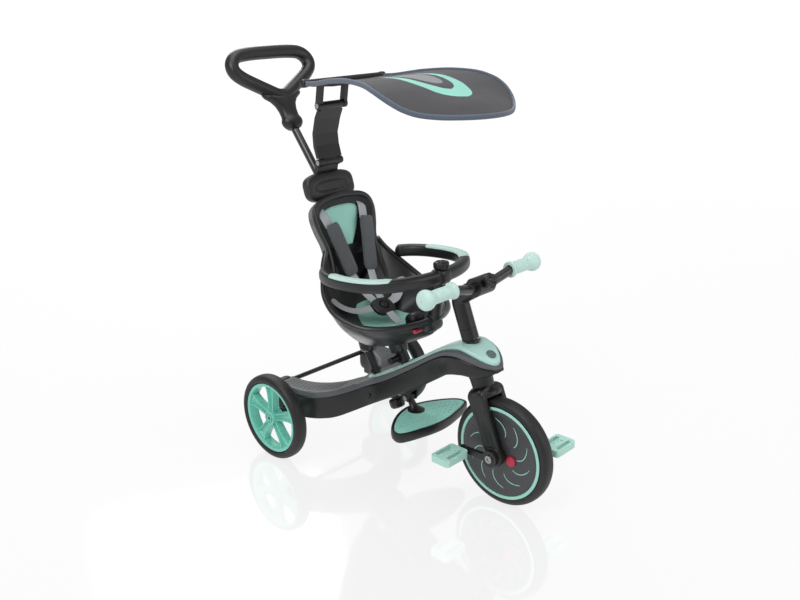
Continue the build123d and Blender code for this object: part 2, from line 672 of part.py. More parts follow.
def ring_knob_axis(low, high, radius):
    """A round bar on the ring knob's axis."""
    return RING.location * (Pos(352, 0, low) * Cylinder(radius, high - low, align=(Align.CENTER, Align.CENTER, Align.MIN)))


def ring_knob():
    """The lobed knob that tightens the ring's clamp."""
    plane = Plane(origin=RING.from_local_coords(Vector(352, 0, 17.4)), x_dir=(0, 1, 0), z_dir=RING.z_dir)
    return lobed_knob(plane, 14, 12, 6) + ring_knob_axis(-9, 18, 4)


def release_button():
    """The red button that frees the ring from the seat tip."""
    return rod_y(317, 368, -54, -29, 5)


# ---------------------------------------------------------------- harness
BUCKLE = Plane(origin=(165, 0, 378), x_dir=(0, 1, 0), z_dir=(0.5, 0, 0.87))


def strap(start, end, width, thickness, normal):
    """A flat strap between two points."""
    a, b = Vector(*start), Vector(*end)
    along = (b - a).normalized()
    up = Vector(*normal) - along * Vector(*normal).dot(along)
    plane = Plane(origin=(a + b) * 0.5, x_dir=along, z_dir=up)
    return plane.location * Box((b - a).length, width, thickness)


def shoulder_pad(sign):
    """A padded sleeve on a shoulder strap."""
    return strap((52, sign * 57, 568), (93, sign * 31, 454), 38, 9, (0.94, 0, 0.34))


def shoulder_strap(sign):
    """The webbing above and below a shoulder pad."""
    upper = strap((36, sign * 66, 604), (51, sign * 58, 570), 24, 1.8, (0.94, 0, 0.34))
    lower = strap((94, sign * 30, 452), (142, sign * 14, 396), 22, 1.8, (0.73, 0, 0.68))
    return [upper, lower]


def buckle():
    """The centre buckle of the harness."""
    body = Box(52, 44, 14)
    body = fillet(body.edges().filter_by(Axis.Z), 12)
    return BUCKLE.location * (body - Pos(0, 0, 5) * Cylinder(10.08, 8))


def buckle_button():
    """The round push button of the buckle."""
    return BUCKLE.location * (Pos(0, 0, 5.4) * Cylinder(10, 6))


def lap_strap(sign):
    """A lap strap from the bucket's side to the buckle."""
    return strap((128, sign * 112, 398), (158, sign * 31, 377), 24, 1.8, (0.3, 0, 0.95))


def crotch_strap():
    """The strap from the seat up to the buckle."""
    return strap((210, 0, 349), (189, 0, 362), 24, 1.8, (0.6, 0, 0.8))


# ---------------------------------------------------------------- foot platform
CLEVIS_X, CLEVIS_Z = 253.0, 168.0


def clevis():
    """The forked lug under the beam that the platform hangs from."""
    body = side_slab([(236, 170), (270, 189), (270, 196), (236, 178)], -16, 16)
    for low, high in ((-16, -9.5), (9.5, 16)):
        body += side_slab([(238, 172), (244, 160), (262, 160), (268, 190)], low, high)
    body -= rod_y(CLEVIS_X, CLEVIS_Z, -8.9, 8.9, 9.6)
    body -= rod_y(CLEVIS_X, CLEVIS_Z, -30, 30, 4 + RUNNING)
    return body - beam_space()


def beam_space():
    """The beam's space above the clevis."""
    return curve_slab(SHELL_TOP, SHELL_FOOT, -190, 190)


def platform_post():
    """The flared post of the foot platform, with its hinge eye."""
    body = rod_y(CLEVIS_X, CLEVIS_Z, -8.6, 8.6, 9)
    foot = Plane(origin=(274, 0, 134)).location * Ellipse(19, 20)
    waist = Plane(origin=(255, 0, 156)).location * Ellipse(9, 9)
    body += loft([foot, waist])
    body += rod((255, 0, 155), (CLEVIS_X, 0, CLEVIS_Z), 8.5)
    return body - rod_y(CLEVIS_X, CLEVIS_Z, -30, 30, 4)


PLATFORM = [(244, 0), (250, 34), (274, 84), (302, 116), (322, 124), (338, 116), (352, 76), (362, 36), (364, 0)]


def platform_outline(inset):
    """The wing-shaped outline seen from above."""
    half = []
    for x, y in PLATFORM:
        half.append((303 + (x - 303) * (1 - inset / 60), y * (1 - inset / 124)))
    return [*half, *[(x, -y) for x, y in reversed(half[1:-1])]]


def platform_tray():
    """The thick black rim of the foot platform."""
    body = plan_slab(platform_outline(0), 114, 139)
    body = fillet(body.edges().group_by(Axis.Z)[0], 6)
    return body - plan_slab(platform_outline(7), 134, 150)


def platform_tread():
    """The mint tread plate with a grid of small studs."""
    body = plan_slab(platform_outline(7.4), 134, 138.5)
    for i in range(5):
        for sign in SIDES.values():
            for j in range(2):
                body += Pos(306 + 12 * j + 4 * i, sign * (48 + 12 * i), 139) * Cylinder(1.6, 1.4)
    return body - Pos(274, 0, 140) * Box(43, 44, 30)


# ---------------------------------------------------------------- beam knob
def beam_knob():
    """The round clamp knob under the beam with its stud."""
    body = knob_rod(0, 24, 19)
    body = fillet(body.edges().filter_by(GeomType.CIRCLE), 3)
    return body + knob_rod(-24, 2, 5.95)


# ---------------------------------------------------------------- write the nodes
os.makedirs("parts", exist_ok=True)
save("chassis_shell", frame_shell())
save("deck_band", frame_band())
save("head_and_beam_cover", top_cover())
save("cross_rod", cross_rod())
save("head_bushes", head_bush(-46, -1, 16.95, 21.5), head_bush(-108, -84, 16.95, 16.95))
save("nose_plug", head_plug())
save("front_tyre", front_tyre())
save("front_axle", front_axle())
save("pedal_release_button", hub_button())
save("fork", fork())
save("steerer_tube", steerer())
save("stem_collar", stem_collar())
save("stem", stem())
save("handlebar", handlebar())
save("handlebar_knob", bar_knob())
save("rear_axles", rear_axle(-1), rear_axle(1))
save("axle_bushes", axle_bush(-1), axle_bush(1))
save("crank_bolts", crank_bolt(-1), crank_bolt(1))
save("pedal_spindles", pedal_spindle(-1), pedal_spindle(1))
save("front_trim_rings", front_trim(-1), front_trim(1))
save("front_discs", front_disc())
save("cranks", crank(-1), crank(1))
save("grips", grip(-1), grip(1))
for side_name, sign in SIDES.items():
    save(f"rear_tyre_{side_name}", rear_tyre(sign))
    save(f"rear_hub_{side_name}", rear_hub(sign))
    save(f"pedal_{side_name}", pedal(sign))
save("seat_posts", seat_post(REAR_POST, 104.5), seat_post(FRONT_POST, 48.5))
save("post_feet", post_foot(REAR_POST, 9), post_foot(FRONT_POST, 26))
save("post_clamp_handle", clamp_handle())
shell = seat_shell()
bucket_space = Pos(100, 0, 200) * Box(800, 500, 540)
save("seat_shell", shell & bucket_space)
save("back_shell", shell - bucket_space)
save("back_liner", back_liner())
save("back_insert", back_insert())
save("seat_insert", seat_pad())
save("headrest", headrest())
save("push_shaft", push_shaft())
save("push_grip", push_grip())
save("canopy_bracket", canopy_bracket())
save("canopy_arm", canopy_arm())
save("canopy_hinge_pins", hinge_pin(-11, 709, 37.3), hinge_pin(1, 845, 44.3))
save("canopy_carrier", canopy_carrier())
save("canopy_cloth", canopy_cloth())
save("canopy_bar", canopy_bar())
save("safety_ring", safety_ring())
save("ring_inserts", ring_insert(-1), ring_insert(1))
save("ring_tee", ring_tee())
save("ring_knob", ring_knob())
save("ring_release_button", release_button())
save("shoulder_pads", shoulder_pad(-1), shoulder_pad(1))
save("harness_webbing", *shoulder_strap(-1), *shoulder_strap(1), lap_strap(-1), lap_strap(1), crotch_strap())
save("buckle", buckle())
save("buckle_button", buckle_button())
save("platform_clevis", clevis())
save("platform_pin", hinge_pin(CLEVIS_X, CLEVIS_Z, 16.3))
save("platform_post", platform_post())
save("platform_tray", platform_tray())
save("platform_tread", platform_tread())
save("beam_knob", beam_knob())
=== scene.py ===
"""Children's tricycle: the looks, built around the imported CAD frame.

Every dimension is in millimetres in the rear-axle frame: X forward from the rear axle, Y to the
rider's left and Z up from the ground. place() turns it into the row frame, in metres.
"""

import logging
import math
from abc import ABC, abstractmethod
from dataclasses import dataclass
from enum import Enum
from typing import Callable, Iterable, Sequence

import bmesh
import bpy
from mathutils import Matrix, Vector, noise


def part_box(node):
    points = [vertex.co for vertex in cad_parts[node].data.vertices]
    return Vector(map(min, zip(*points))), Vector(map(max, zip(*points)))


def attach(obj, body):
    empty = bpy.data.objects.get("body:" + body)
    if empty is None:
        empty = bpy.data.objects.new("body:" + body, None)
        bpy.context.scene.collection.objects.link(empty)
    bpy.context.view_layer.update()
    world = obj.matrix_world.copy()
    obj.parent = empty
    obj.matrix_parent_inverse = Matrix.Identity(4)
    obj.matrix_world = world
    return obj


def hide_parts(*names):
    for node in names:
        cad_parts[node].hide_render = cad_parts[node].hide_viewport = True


logging.basicConfig(level=logging.INFO, format="%(levelname)s %(message)s")
LOG = logging.getLogger("tricycle")

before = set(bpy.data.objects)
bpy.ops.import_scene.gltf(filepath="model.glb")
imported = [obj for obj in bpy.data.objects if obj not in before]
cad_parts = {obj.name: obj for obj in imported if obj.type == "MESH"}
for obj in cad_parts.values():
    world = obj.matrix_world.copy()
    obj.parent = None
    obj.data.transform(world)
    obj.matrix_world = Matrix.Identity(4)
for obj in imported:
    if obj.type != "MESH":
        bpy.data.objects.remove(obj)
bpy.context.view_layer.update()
_low, _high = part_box("rear_tyre_right")
AXLE_X = (_low.x + _high.x) / 2
SIDES = {"right": -1, "left": 1}

Point = tuple[float, float, float]
Ring = list[Vector]


def place(point: Iterable[float]) -> Vector:
    """Turn a point in rear-axle millimetres into the row frame in metres."""
    x, y, z = point
    return Vector((AXLE_X + x / 1000, y / 1000, z / 1000))


# ------------------------------------------------------------------ finishes
class Grain(Enum):
    """The kinds of small relief that a surface may carry."""

    MOULDED = "moulded"
    FOAM = "foam"
    WEAVE = "weave"


@dataclass(frozen=True)
class Finish:
    """One procedural finish.

    Args:
        slot: material slot of the record that it belongs to.
        colour: sRGB hex of the base colour.
        roughness: middle roughness.
        grain: kind of relief.
        grain_mm: size of one grain or thread.
        depth_mm: height of the relief.
        spread: how much the colour varies, 0 to 1.
        metallic: 1 for bare metal.
        coat: strength of a clear coat.
        sheen: strength of a cloth sheen.
    """

    slot: str
    colour: str
    roughness: float
    grain: Grain = Grain.MOULDED
    grain_mm: float = 0.9
    depth_mm: float = 0.05
    spread: float = 0.06
    metallic: float = 0.0
    coat: float = 0.0
    sheen: float = 0.0


FINISHES: dict[str, Finish] = {
    f.slot: f
    for f in (
        Finish("black_plastic", "#0f0f10", 0.42),
        Finish("grey_deck", "#505356", 0.45, Grain.MOULDED, 1.1, 0.06),
        Finish("mint_cover", "#abd3ca", 0.36, depth_mm=0.02, coat=0.15),
        Finish("mint_grip", "#b9d6ce", 0.55, Grain.FOAM, 0.7, 0.05, coat=0.0),
        Finish("mint_hub", "#70c3b1", 0.38, depth_mm=0.03, coat=0.1),
        Finish("mint_pedal", "#aad5ca", 0.45),
        Finish("mint_panel", "#97cec0", 0.45),
        Finish("mint_tread", "#90ccbe", 0.6, Grain.FOAM, 0.8, 0.08),
        Finish("tyre_black", "#111112", 0.55, Grain.FOAM, 1.2, 0.08),
        Finish("disc_grey", "#37383b", 0.42),
        Finish("seat_grey", "#1d1d1f", 0.34, Grain.MOULDED, 1.3, 0.05),
        Finish("headrest_black", "#1f1f20", 0.5, Grain.FOAM, 1.4, 0.12),
        Finish("ring_foam", "#19191b", 0.42, Grain.FOAM, 0.8, 0.04),
        Finish("steel_black", "#161617", 0.28, depth_mm=0.015, coat=0.3),
        Finish("steel_plain", "#9b9a98", 0.32, depth_mm=0.01, metallic=1.0),
        Finish("bush_white", "#d8d8d2", 0.4),
        Finish("plug_grey", "#5c6a6a", 0.35),
        Finish("red_button", "#a80a34", 0.34, depth_mm=0.01, coat=0.2),
        Finish("pad_fabric", "#4a4d50", 0.85, Grain.WEAVE, 1.1, 0.25, 0.14, sheen=0.3),
        Finish("webbing", "#a5a9ac", 0.75, Grain.WEAVE, 1.4, 0.3, 0.12, sheen=0.2),
        Finish("canopy_fabric", "#363639", 0.8, Grain.WEAVE, 0.8, 0.12, 0.06, sheen=0.05),
    )
}


def linear(hex_colour: str) -> tuple[float, float, float, float]:
    """Convert an sRGB hex colour to the linear values that shaders take."""
    values = [int(hex_colour[i : i + 2], 16) / 255 for i in (1, 3, 5)]
    return (*[v / 12.92 if v <= 0.04045 else ((v + 0.055) / 1.055) ** 2.4 for v in values], 1.0)


class Shader:
    """A material's node tree with a short way to add and link nodes."""

    def __init__(self, name: str) -> None:
        self.material = bpy.data.materials.new(name)
        self.material.use_nodes = True
        self.tree = self.material.node_tree
        self.principled = next(n for n in self.tree.nodes if n.type == "BSDF_PRINCIPLED")

    def add(
        self, kind: str, links: dict[str | int, object] | None = None, **settings: object
    ) -> bpy.types.Node:
        """Add one node; links maps input names to sockets or constants."""
        node = self.tree.nodes.new(kind)
        for key, value in settings.items():
            setattr(node, key, value)
        for key, value in (links or {}).items():
            if isinstance(value, bpy.types.NodeSocket):
                self.tree.links.new(value, node.inputs[key])
            else:
                node.inputs[key].default_value = value
        return node

    def link(self, socket: bpy.types.NodeSocket, name: str) -> None:
        """Link a socket to an input of the Principled shader."""
        self.tree.links.new(socket, self.principled.inputs[name])

    def mix(self, factor: object, a: object, b: object, blend: str = "MIX") -> bpy.types.NodeSocket:
        """Mix two colours."""
        node = self.add("ShaderNodeMix", data_type="RGBA", blend_type=blend)
        for index, value in ((0, factor), (6, a), (7, b)):
            if isinstance(value, bpy.types.NodeSocket):
                self.tree.links.new(value, node.inputs[index])
            else:
                node.inputs[index].default_value = value
        return node.outputs[2]

    def remap(self, value: bpy.types.NodeSocket, low: float, high: float) -> bpy.types.NodeSocket:
        """Map 0 to 1 onto low to high."""
        return self.add("ShaderNodeMapRange", {"Value": value, "To Min": low, "To Max": high}).outputs[0]


def relief(shader: Shader, finish: Finish, where: bpy.types.NodeSocket) -> bpy.types.NodeSocket:
    """The height signal of a finish's grain, 0 to 1."""
    scale = 1000 / finish.grain_mm
    if finish.grain in (Grain.MOULDED, Grain.FOAM):
        detail = 3.0 if finish.grain is Grain.MOULDED else 1.0
        return shader.add(
            "ShaderNodeTexNoise", {"Vector": where, "Scale": scale, "Detail": detail}
        ).outputs[0]
    waves = []
    for direction in ("X", "Y", "Z"):
        settings = {"wave_type": "BANDS", "bands_direction": direction, "wave_profile": "SIN"}
        node = shader.add(
            "ShaderNodeTexWave", {"Vector": where, "Scale": scale / 3.2, "Distortion": 0.4}, **settings
        )
        waves.append(node.outputs[1])
    pair = shader.add("ShaderNodeMath", {0: waves[0], 1: waves[1]}, operation="MULTIPLY").outputs[0]
    return shader.add("ShaderNodeMath", {0: pair, 1: waves[2]}, operation="MAXIMUM").outputs[0]


def make_material(
    finish: Finish, colour_of: Callable[[Shader], bpy.types.NodeSocket] | None = None
) -> bpy.types.Material:
    """Build the material of a finish.

    Args:
        finish: what it looks like.
        colour_of: makes the base colour socket, where it isn't one colour.

    Returns:
        The new material.
    """
    shader = Shader(finish.slot if colour_of is None else finish.slot + "_printed")
    where = shader.add("ShaderNodeTexCoord").outputs["Object"]
    broad = shader.add("ShaderNodeTexNoise", {"Vector": where, "Scale": 22.0, "Detail": 4.0}).outputs[0]
    height = relief(shader, finish, where)
    base = colour_of(shader) if colour_of else linear(finish.colour)
    dark = shader.mix(1.0, base, (1 - finish.spread,) * 3 + (1.0,), "MULTIPLY")
    light = shader.mix(1.0, base, (1 + finish.spread,) * 3 + (1.0,), "MULTIPLY")
    shader.link(shader.mix(broad, dark, light), "Base Color")
    rough = shader.add("ShaderNodeMath", {0: broad, 1: height}, operation="MULTIPLY").outputs[0]
    shader.link(shader.remap(rough, finish.roughness * 0.85, min(1.0, finish.roughness * 1.3)), "Roughness")
    links = {"Height": height, "Strength": 0.6, "Distance": finish.depth_mm / 1000}
    shader.link(shader.add("ShaderNodeBump", links).outputs[0], "Normal")
    inputs = shader.principled.inputs
    inputs["Metallic"].default_value = finish.metallic
    inputs["Coat Weight"].default_value = finish.coat
    inputs["Coat Roughness"].default_value = 0.25
    inputs["Sheen Weight"].default_value = finish.sheen
    inputs["Sheen Roughness"].default_value = 0.5
    return shader.material


class Materials:
    """Makes each material once."""

    def __init__(self) -> None:
        self.made: dict[str, bpy.types.Material] = {}

    def __getitem__(self, slot: str) -> bpy.types.Material:
        if slot not in self.made:
            self.made[slot] = make_material(FINISHES[slot])
        return self.made[slot]


MATERIALS = Materials()


# ------------------------------------------------------------------ curves and meshes
def smooth_path(points: Sequence[Sequence[float]], steps: int, closed: bool = False) -> list[Vector]:
    """A Catmull-Rom curve through the points, with steps spans between neighbours."""
    dims = len(points[0])
    given = [Vector((*p, 0.0)) if dims == 2 else Vector(p) for p in points]
    count = len(given)
    result = []
    for i in range(count if closed else count - 1):
        p1, p2 = given[i], given[(i + 1) % count]
        p0 = given[i - 1] if closed or i else p1 * 2 - p2
        p3 = given[(i + 2) % count] if closed or i + 2 < count else p2 * 2 - p1
        for k in range(steps):
            t = k / steps
            a = p1 * 2
            b = (p2 - p0) * t
            c = (p0 * 2 - p1 * 5 + p2 * 4 - p3) * t * t
            d = (p1 * 3 - p0 - p2 * 3 + p3) * t * t * t
            result.append((a + b + c + d) * 0.5)
    if not closed:
        result.append(given[-1])
    return result


class Profile:
    """A smooth function y(x) through given points, with x rising."""

    def __init__(self, points: Sequence[tuple[float, float]]) -> None:
        self.points = sorted(points)

    def __call__(self, x: float) -> float:
        p = self.points
        if x <= p[0][0]:
            return p[0][1]
        if x >= p[-1][0]:
            return p[-1][1]
        i = max(k for k in range(len(p) - 1) if p[k][0] <= x)
        x0, x1 = p[i][0], p[i + 1][0]
        slopes = []
        for k in (i, i + 1):
            a, b = p[max(k - 1, 0)], p[min(k + 1, len(p) - 1)]
            slopes.append((b[1] - a[1]) / (b[0] - a[0]))
        t = (x - x0) / (x1 - x0)
        span = x1 - x0
        h00, h10 = 2 * t**3 - 3 * t**2 + 1, t**3 - 2 * t**2 + t
        h01, h11 = -2 * t**3 + 3 * t**2, t**3 - t**2
        return h00 * p[i][1] + h10 * span * slopes[0] + h01 * p[i + 1][1] + h11 * span * slopes[1]


class Sculpt:
    """Collects vertices and faces in rear-axle millimetres and turns them into one object."""

    def __init__(self) -> None:
        self.verts: list[Vector] = []
        self.faces: list[list[int]] = []

    def skin(
        self, rings: Sequence[Sequence[Vector]], closed: bool = True, caps: bool = True, loop: bool = False
    ) -> None:
        """Join rings of equal length into a surface.

        Args:
            rings: the cross-sections in order.
            closed: whether each ring closes on itself.
            caps: whether the first and last rings are filled.
            loop: whether the last ring joins the first.
        """
        base, n = len(self.verts), len(rings[0])
        for ring in rings:
            self.verts.extend(Vector(p) for p in ring)
        rows = len(rings)
        for i in range(rows if loop else rows - 1):
            j = (i + 1) % rows
            for k in range(n if closed else n - 1):
                m = (k + 1) % n
                self.faces.append([base + i * n + k, base + i * n + m, base + j * n + m, base + j * n + k])
        if caps and closed and not loop:
            self.faces.append([base + k for k in reversed(range(n))])
            self.faces.append([base + (rows - 1) * n + k for k in range(n)])

    def mirror(self) -> None:
        """Add the mirror image across the middle plane."""
        base = len(self.verts)
        self.verts.extend([Vector((v.x, -v.y, v.z)) for v in self.verts])
        self.faces.extend([[base + i for i in reversed(face)] for face in list(self.faces)])

    def lathe(
        self, profile: Sequence[tuple[float, float]], x: float, z: float, segments: int = 96,
        closed: bool = True
    ) -> None:
        """Turn a (radius, y) profile about an axis along Y through x, z."""
        rings = []
        for i in range(segments):
            a = 2 * math.pi * i / segments
            rings.append([Vector((x + r * math.cos(a), y, z + r * math.sin(a))) for r, y in profile])
        self.skin(rings, closed=closed, caps=False, loop=True)

    def sweep(self, path: Sequence[Vector], section: Sequence[tuple[
        float, float
    ]], side: Vector | None = None,
              scale: Callable[[float], float] = lambda t: 1.0, closed: bool = False) -> None:
        """Carry a flat (a, b) section along a path; a runs along side, b across it."""
        rings, count = [], len(path)
        normal = side or Vector((0, 0, 1))
        for i, p in enumerate(path):
            before = path[i - 1] if closed or i else p
            after = path[(i + 1) % count] if closed or i + 1 < count else p
            along = (after - before).normalized()
            if side is None:
                normal = (normal - along * normal.dot(along)).normalized()
                first = normal
            else:
                first = (side - along * side.dot(along)).normalized()
            second = along.cross(first)
            k = scale(i / max(count - 1, 1))
            rings.append([p + first * (a * k) + second * (b * k) for a, b in section])
        self.skin(rings, loop=closed)

    def blob(self, centre: Point, axes: Sequence[Vector], half: Point, power: float = 4.0, rows: int = 28,
             dent: Callable[[Vector], Vector] = lambda v: v) -> None:
        """A rounded box: a superellipsoid with optional relief in its own unit coordinates."""
        a, b, c = axes
        rings = []
        for i in range(1, rows):
            phi = math.pi * (i / rows - 0.5)
            ring = []
            for j in range(2 * rows):
                theta = math.pi * j / rows
                unit = Vector((
                    math.cos(phi) * math.cos(theta), math.cos(phi) * math.sin(theta), math.sin(phi)
                ))
                size = sum(abs(q) ** power for q in unit) ** (1 / power)
                unit = dent(unit / size)
                ring.append(
                    Vector(centre) + a * (unit.x * half[0]) + b * (unit.y * half[1]) + c * (unit.z * half[2])
                )
            rings.append(ring)
        self.skin(rings)

    def build(self, name: str) -> bpy.types.Object:
        """Make the object, in the row frame."""
        mesh = bpy.data.meshes.new(name)
        mesh.from_pydata([place(v) for v in self.verts], [], self.faces)
        mesh.validate()
        mesh.update()
        obj = bpy.data.objects.new(name, mesh)
        bpy.context.scene.collection.objects.link(obj)
        work = bmesh.new()
        work.from_mesh(mesh)
        bmesh.ops.remove_doubles(work, verts=work.verts, dist=1e-6)
        bmesh.ops.recalc_face_normals(work, faces=work.faces)
        work.to_mesh(mesh)
        work.free()
        mesh.shade_smooth()
        mesh.set_sharp_from_angle(angle=math.radians(38))
        return obj


def circle(radius: float, count: int = 20) -> list[tuple[float, float]]:
    """A round section."""
    return [
        (radius * math.cos(2 * math.pi * k / count), radius * math.sin(2 * math.pi * k / count))
        for k in range(count)
    ]


def pillow(half_a: float, half_b: float, power: float = 4.0, count: int = 32) -> list[tuple[float, float]]:
    """A rounded-rectangle section."""
    section = []
    for k in range(count):
        c, s = math.cos(2 * math.pi * k / count), math.sin(2 * math.pi * k / count)
        size = (abs(c) ** power + abs(s) ** power) ** (1 / power)
        section.append((half_a * c / size, half_b * s / size))
    return section


def show(sculpt: Sculpt, name: str, body: str, slot: str, nodes: Sequence[str] = (), subdivide: int = 0,
         bevel_mm: float = 0.0, material: bpy.types.Material | None = None) -> bpy.types.Object:
    """Make a piece, give it its finish and let it ride on its body.

    Args:
        sculpt: its mesh.
        name: its name.
        body: CAD body that it moves with.
        slot: material slot of the record.
        nodes: CAD nodes that it replaces.
        subdivide: levels of subdivision.
        bevel_mm: width of an edge bevel.
        material: a material other than the slot's own.

    Returns:
        The new object.
    """
    obj = sculpt.build(name.replace(" ", "_"))
    if bevel_mm:
        add_bevel(obj, bevel_mm)
    if subdivide:
        levels = obj.modifiers.new("subdivide", "SUBSURF")
        levels.levels = levels.render_levels = subdivide
    obj.data.materials.append(material or MATERIALS[slot])
    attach(obj, body)
    if nodes:
        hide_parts(*nodes)
    LOG.info("made %s", name)
    return obj


def add_bevel(obj: bpy.types.Object, width_mm: float, segments: int = 3) -> None:
    """Round an object's sharp edges."""
    bevel = obj.modifiers.new("bevel", "BEVEL")
    bevel.width = width_mm / 1000
    bevel.segments = segments
    bevel.limit_method = "ANGLE"
    bevel.angle_limit = math.radians(35)
    bevel.harden_normals = False


class Assembly(ABC):
    """One sub-assembly of the tricycle."""

    @abstractmethod
    def build(self) -> None:
        """Make every piece of the sub-assembly."""


# ------------------------------------------------------------------ wheels
@dataclass
class RearWheels(Assembly):
    """Two rear wheels: a solid tyre and a five-spoke hub with channelled spokes."""

    radius: float = 108.0
    track_half: float = 219.0
    rim: float = 88.0
    half_width: float = 18.0

    def build(self) -> None:
        """Make both wheels."""
        for name, sign in SIDES.items():
            self.tyre(name, sign)
            self.hub(name, sign)

    def tyre(self, name: str, sign: int) -> None:
        """The tyre of one side."""
        sculpt = Sculpt()
        half = [
            (self.rim, 13.5), (91, 16.2), (95, self.half_width), (100, 17.6), (104.5, 14.6), (107, 10),
            (self.radius, 4)
        ]
        profile = [(r, sign * self.track_half + y) for r, y in half + [(r, -y) for r, y in reversed(half)]]
        sculpt.lathe(profile, 0, self.radius, 120)
        show(
            sculpt, f"rear tyre {name}", f"rear_wheel_{name}", "tyre_black", [f"rear_tyre_{name}"],
            subdivide=1
        )

    def hub(self, name: str, sign: int) -> None:
        """Rim, spokes and boss of one side."""
        y = sign * self.track_half
        sculpt = Sculpt()
        lip = [
            (87.9, -14.5), (87.9, 14.5), (84, 15), (80.5, 13), (79, 6), (78.6, 0), (79, -6), (80.5, -13),
            (84, -15)
        ]
        sculpt.lathe([(r, y + d * sign) for r, d in lip], 0, self.radius, 100)
        boss = [
            (5.2, -17), (5.2, 17), (8.5, 17), (8.6, 14), (12.5, 14), (13, 16.6), (16.5, 16.2), (17.5, 13),
            (17.5, -13), (15, -17)
        ]
        sculpt.lathe([(r, y + d * sign) for r, d in boss], 0, self.radius, 48)
        for k in range(5):
            self.spoke(sculpt, math.radians(90 + 72 * k), y, sign)
        show(sculpt, f"rear hub {name}", f"rear_wheel_{name}", "mint_hub", [f"rear_hub_{name}"])

    def spoke(self, sculpt: Sculpt, angle: float, y: float, sign: int) -> None:
        """One spoke: a flared bar with a channel in its outer face."""
        out = Vector((math.cos(angle), 0, math.sin(angle)))
        across = Vector((-math.sin(angle), 0, math.cos(angle)))
        rings = []
        for r, w in ((12, 8.5), (22, 8.6), (34, 9.2), (50, 10.6), (64, 12.6), (74, 15.5), (80.5, 19)):
            deep = 6.5 if 20 < r < 76 else 0.0
            inner = max(w - 3.2, 1.0)
            lobe = [(-w, -9), (-w, 9.5), (-w + 1.2, 11), (-inner - 0.6, 11), (-inner, 10.4), (
                -inner + 1.2, 10.4 - deep
            ), (0, 10 - deep),
                    (
                        inner - 1.2, 10.4 - deep
                    ), (inner, 10.4), (inner + 0.6, 11), (w - 1.2, 11), (w, 9.5), (w, -9), (0, -10)]
            centre = Vector((0, y, self.radius)) + out * r
            rings.append([centre + across * a + Vector((0, sign * d, 0)) for a, d in lobe])
        sculpt.skin(rings)


@dataclass
class FrontWheel(Assembly):
    """The closed front wheel with its ring and strokes; its red button is the carried-over CAD node."""

    x: float = 540.0
    radius: float = 127.0
    rim: float = 104.8
    strokes: int = 10

    def build(self) -> None:
        """Make the tyre, the disc, the ring and the printed strokes."""
        tyre = Sculpt()
        half = [
            (self.rim + 0.4, 14), (109, 16.6), (114, 18.4), (119, 17.8), (123.5, 14.4), (126, 10),
            (self.radius, 4)
        ]
        tyre.lathe(half + [(r, -y) for r, y in reversed(half)], self.x, self.radius, 140)
        show(tyre, "front tyre", "front_wheel", "tyre_black", ["front_tyre"], subdivide=1)
        disc = Sculpt()
        side = [
            (6, 20.2), (15, 20.2), (17, 19), (24, 18.2), (27, 18.4), (40, 17.6), (43, 16.9), (88, 16.9),
            (91, 17.6), (99, 18.3), (103, 17), (104.8, 14)
        ]
        disc.lathe(side + [(r, -y) for r, y in reversed(side)], self.x, self.radius, 120)
        show(disc, "front disc", "front_wheel", "disc_grey", ["front_discs"])
        ring, marks = Sculpt(), Sculpt()
        for sign in SIDES.values():
            band = [(101.6, 17.6), (102.4, 19.6), (105, 20.3), (108, 19.4), (109.2, 18.2), (106, 16.8)]
            ring.lathe([(r, sign * y) for r, y in band], self.x, self.radius, 120)
            for k in range(self.strokes):
                self.stroke(marks, sign, 2 * math.pi * k / self.strokes)
        show(ring, "front trim ring", "front_wheel", "mint_panel", ["front_trim_rings"])
        show(marks, "front strokes", "front_wheel", "mint_panel")

    def stroke(self, sculpt: Sculpt, sign: int, start: float) -> None:
        """One thin raised curved stroke on a disc's face."""
        path = []
        for k in range(15):
            t = k / 14
            r, a = 47 + 37 * t, start + 0.5 * t * t
            path.append(Vector((self.x + r * math.cos(a), sign * 17.0, self.radius + r * math.sin(a))))
        sculpt.sweep(
            path, pillow(0.6, 1.0, 2.5, 10), Vector((0, 1, 0)),
            lambda t: 0.35 + 0.65 * math.sin(math.pi * t) ** 0.4
        )


# ------------------------------------------------------------------ chassis
SHELL_TOP = Profile([
    (-60, 161), (60, 160), (110, 162), (150, 178), (190, 198), (240, 229), (300, 269), (348, 302), (395, 329),
    (439, 342), (475, 336), (505, 325), (527, 319)
])
BAND_TOP = Profile([
    (-60, 175), (60, 174), (110, 177), (150, 194), (190, 214), (240, 244), (300, 283), (348, 315), (395, 341),
    (439, 355), (475, 348), (505, 334), (525, 323)
])
CROWN = Profile([
    (100, 177), (137, 193), (186, 220), (234, 249), (300, 291), (348, 323), (395, 350), (439, 365),
    (475, 358), (505, 343), (525, 330)
])
FOOT = Profile([
    (-60, 101), (90, 101), (112, 104), (140, 118), (190, 147), (296, 210), (365, 258), (410, 288), (452, 301),
    (484, 301), (504, 304), (518, 311), (527, 318.5)
])
ARM_INNER = [
    (100, 0), (93.5, 14), (91, 26), (84, 48), (72, 70), (59.2, 86.1), (36, 105), (8.3, 118), (-14, 123),
    (-35, 124)
]
ARM_OUTER = [
    (129, 72), (120, 90), (113, 106), (104, 122), (92, 137), (76, 152), (52, 165), (20, 173), (-10, 176),
    (-35, 176)
]


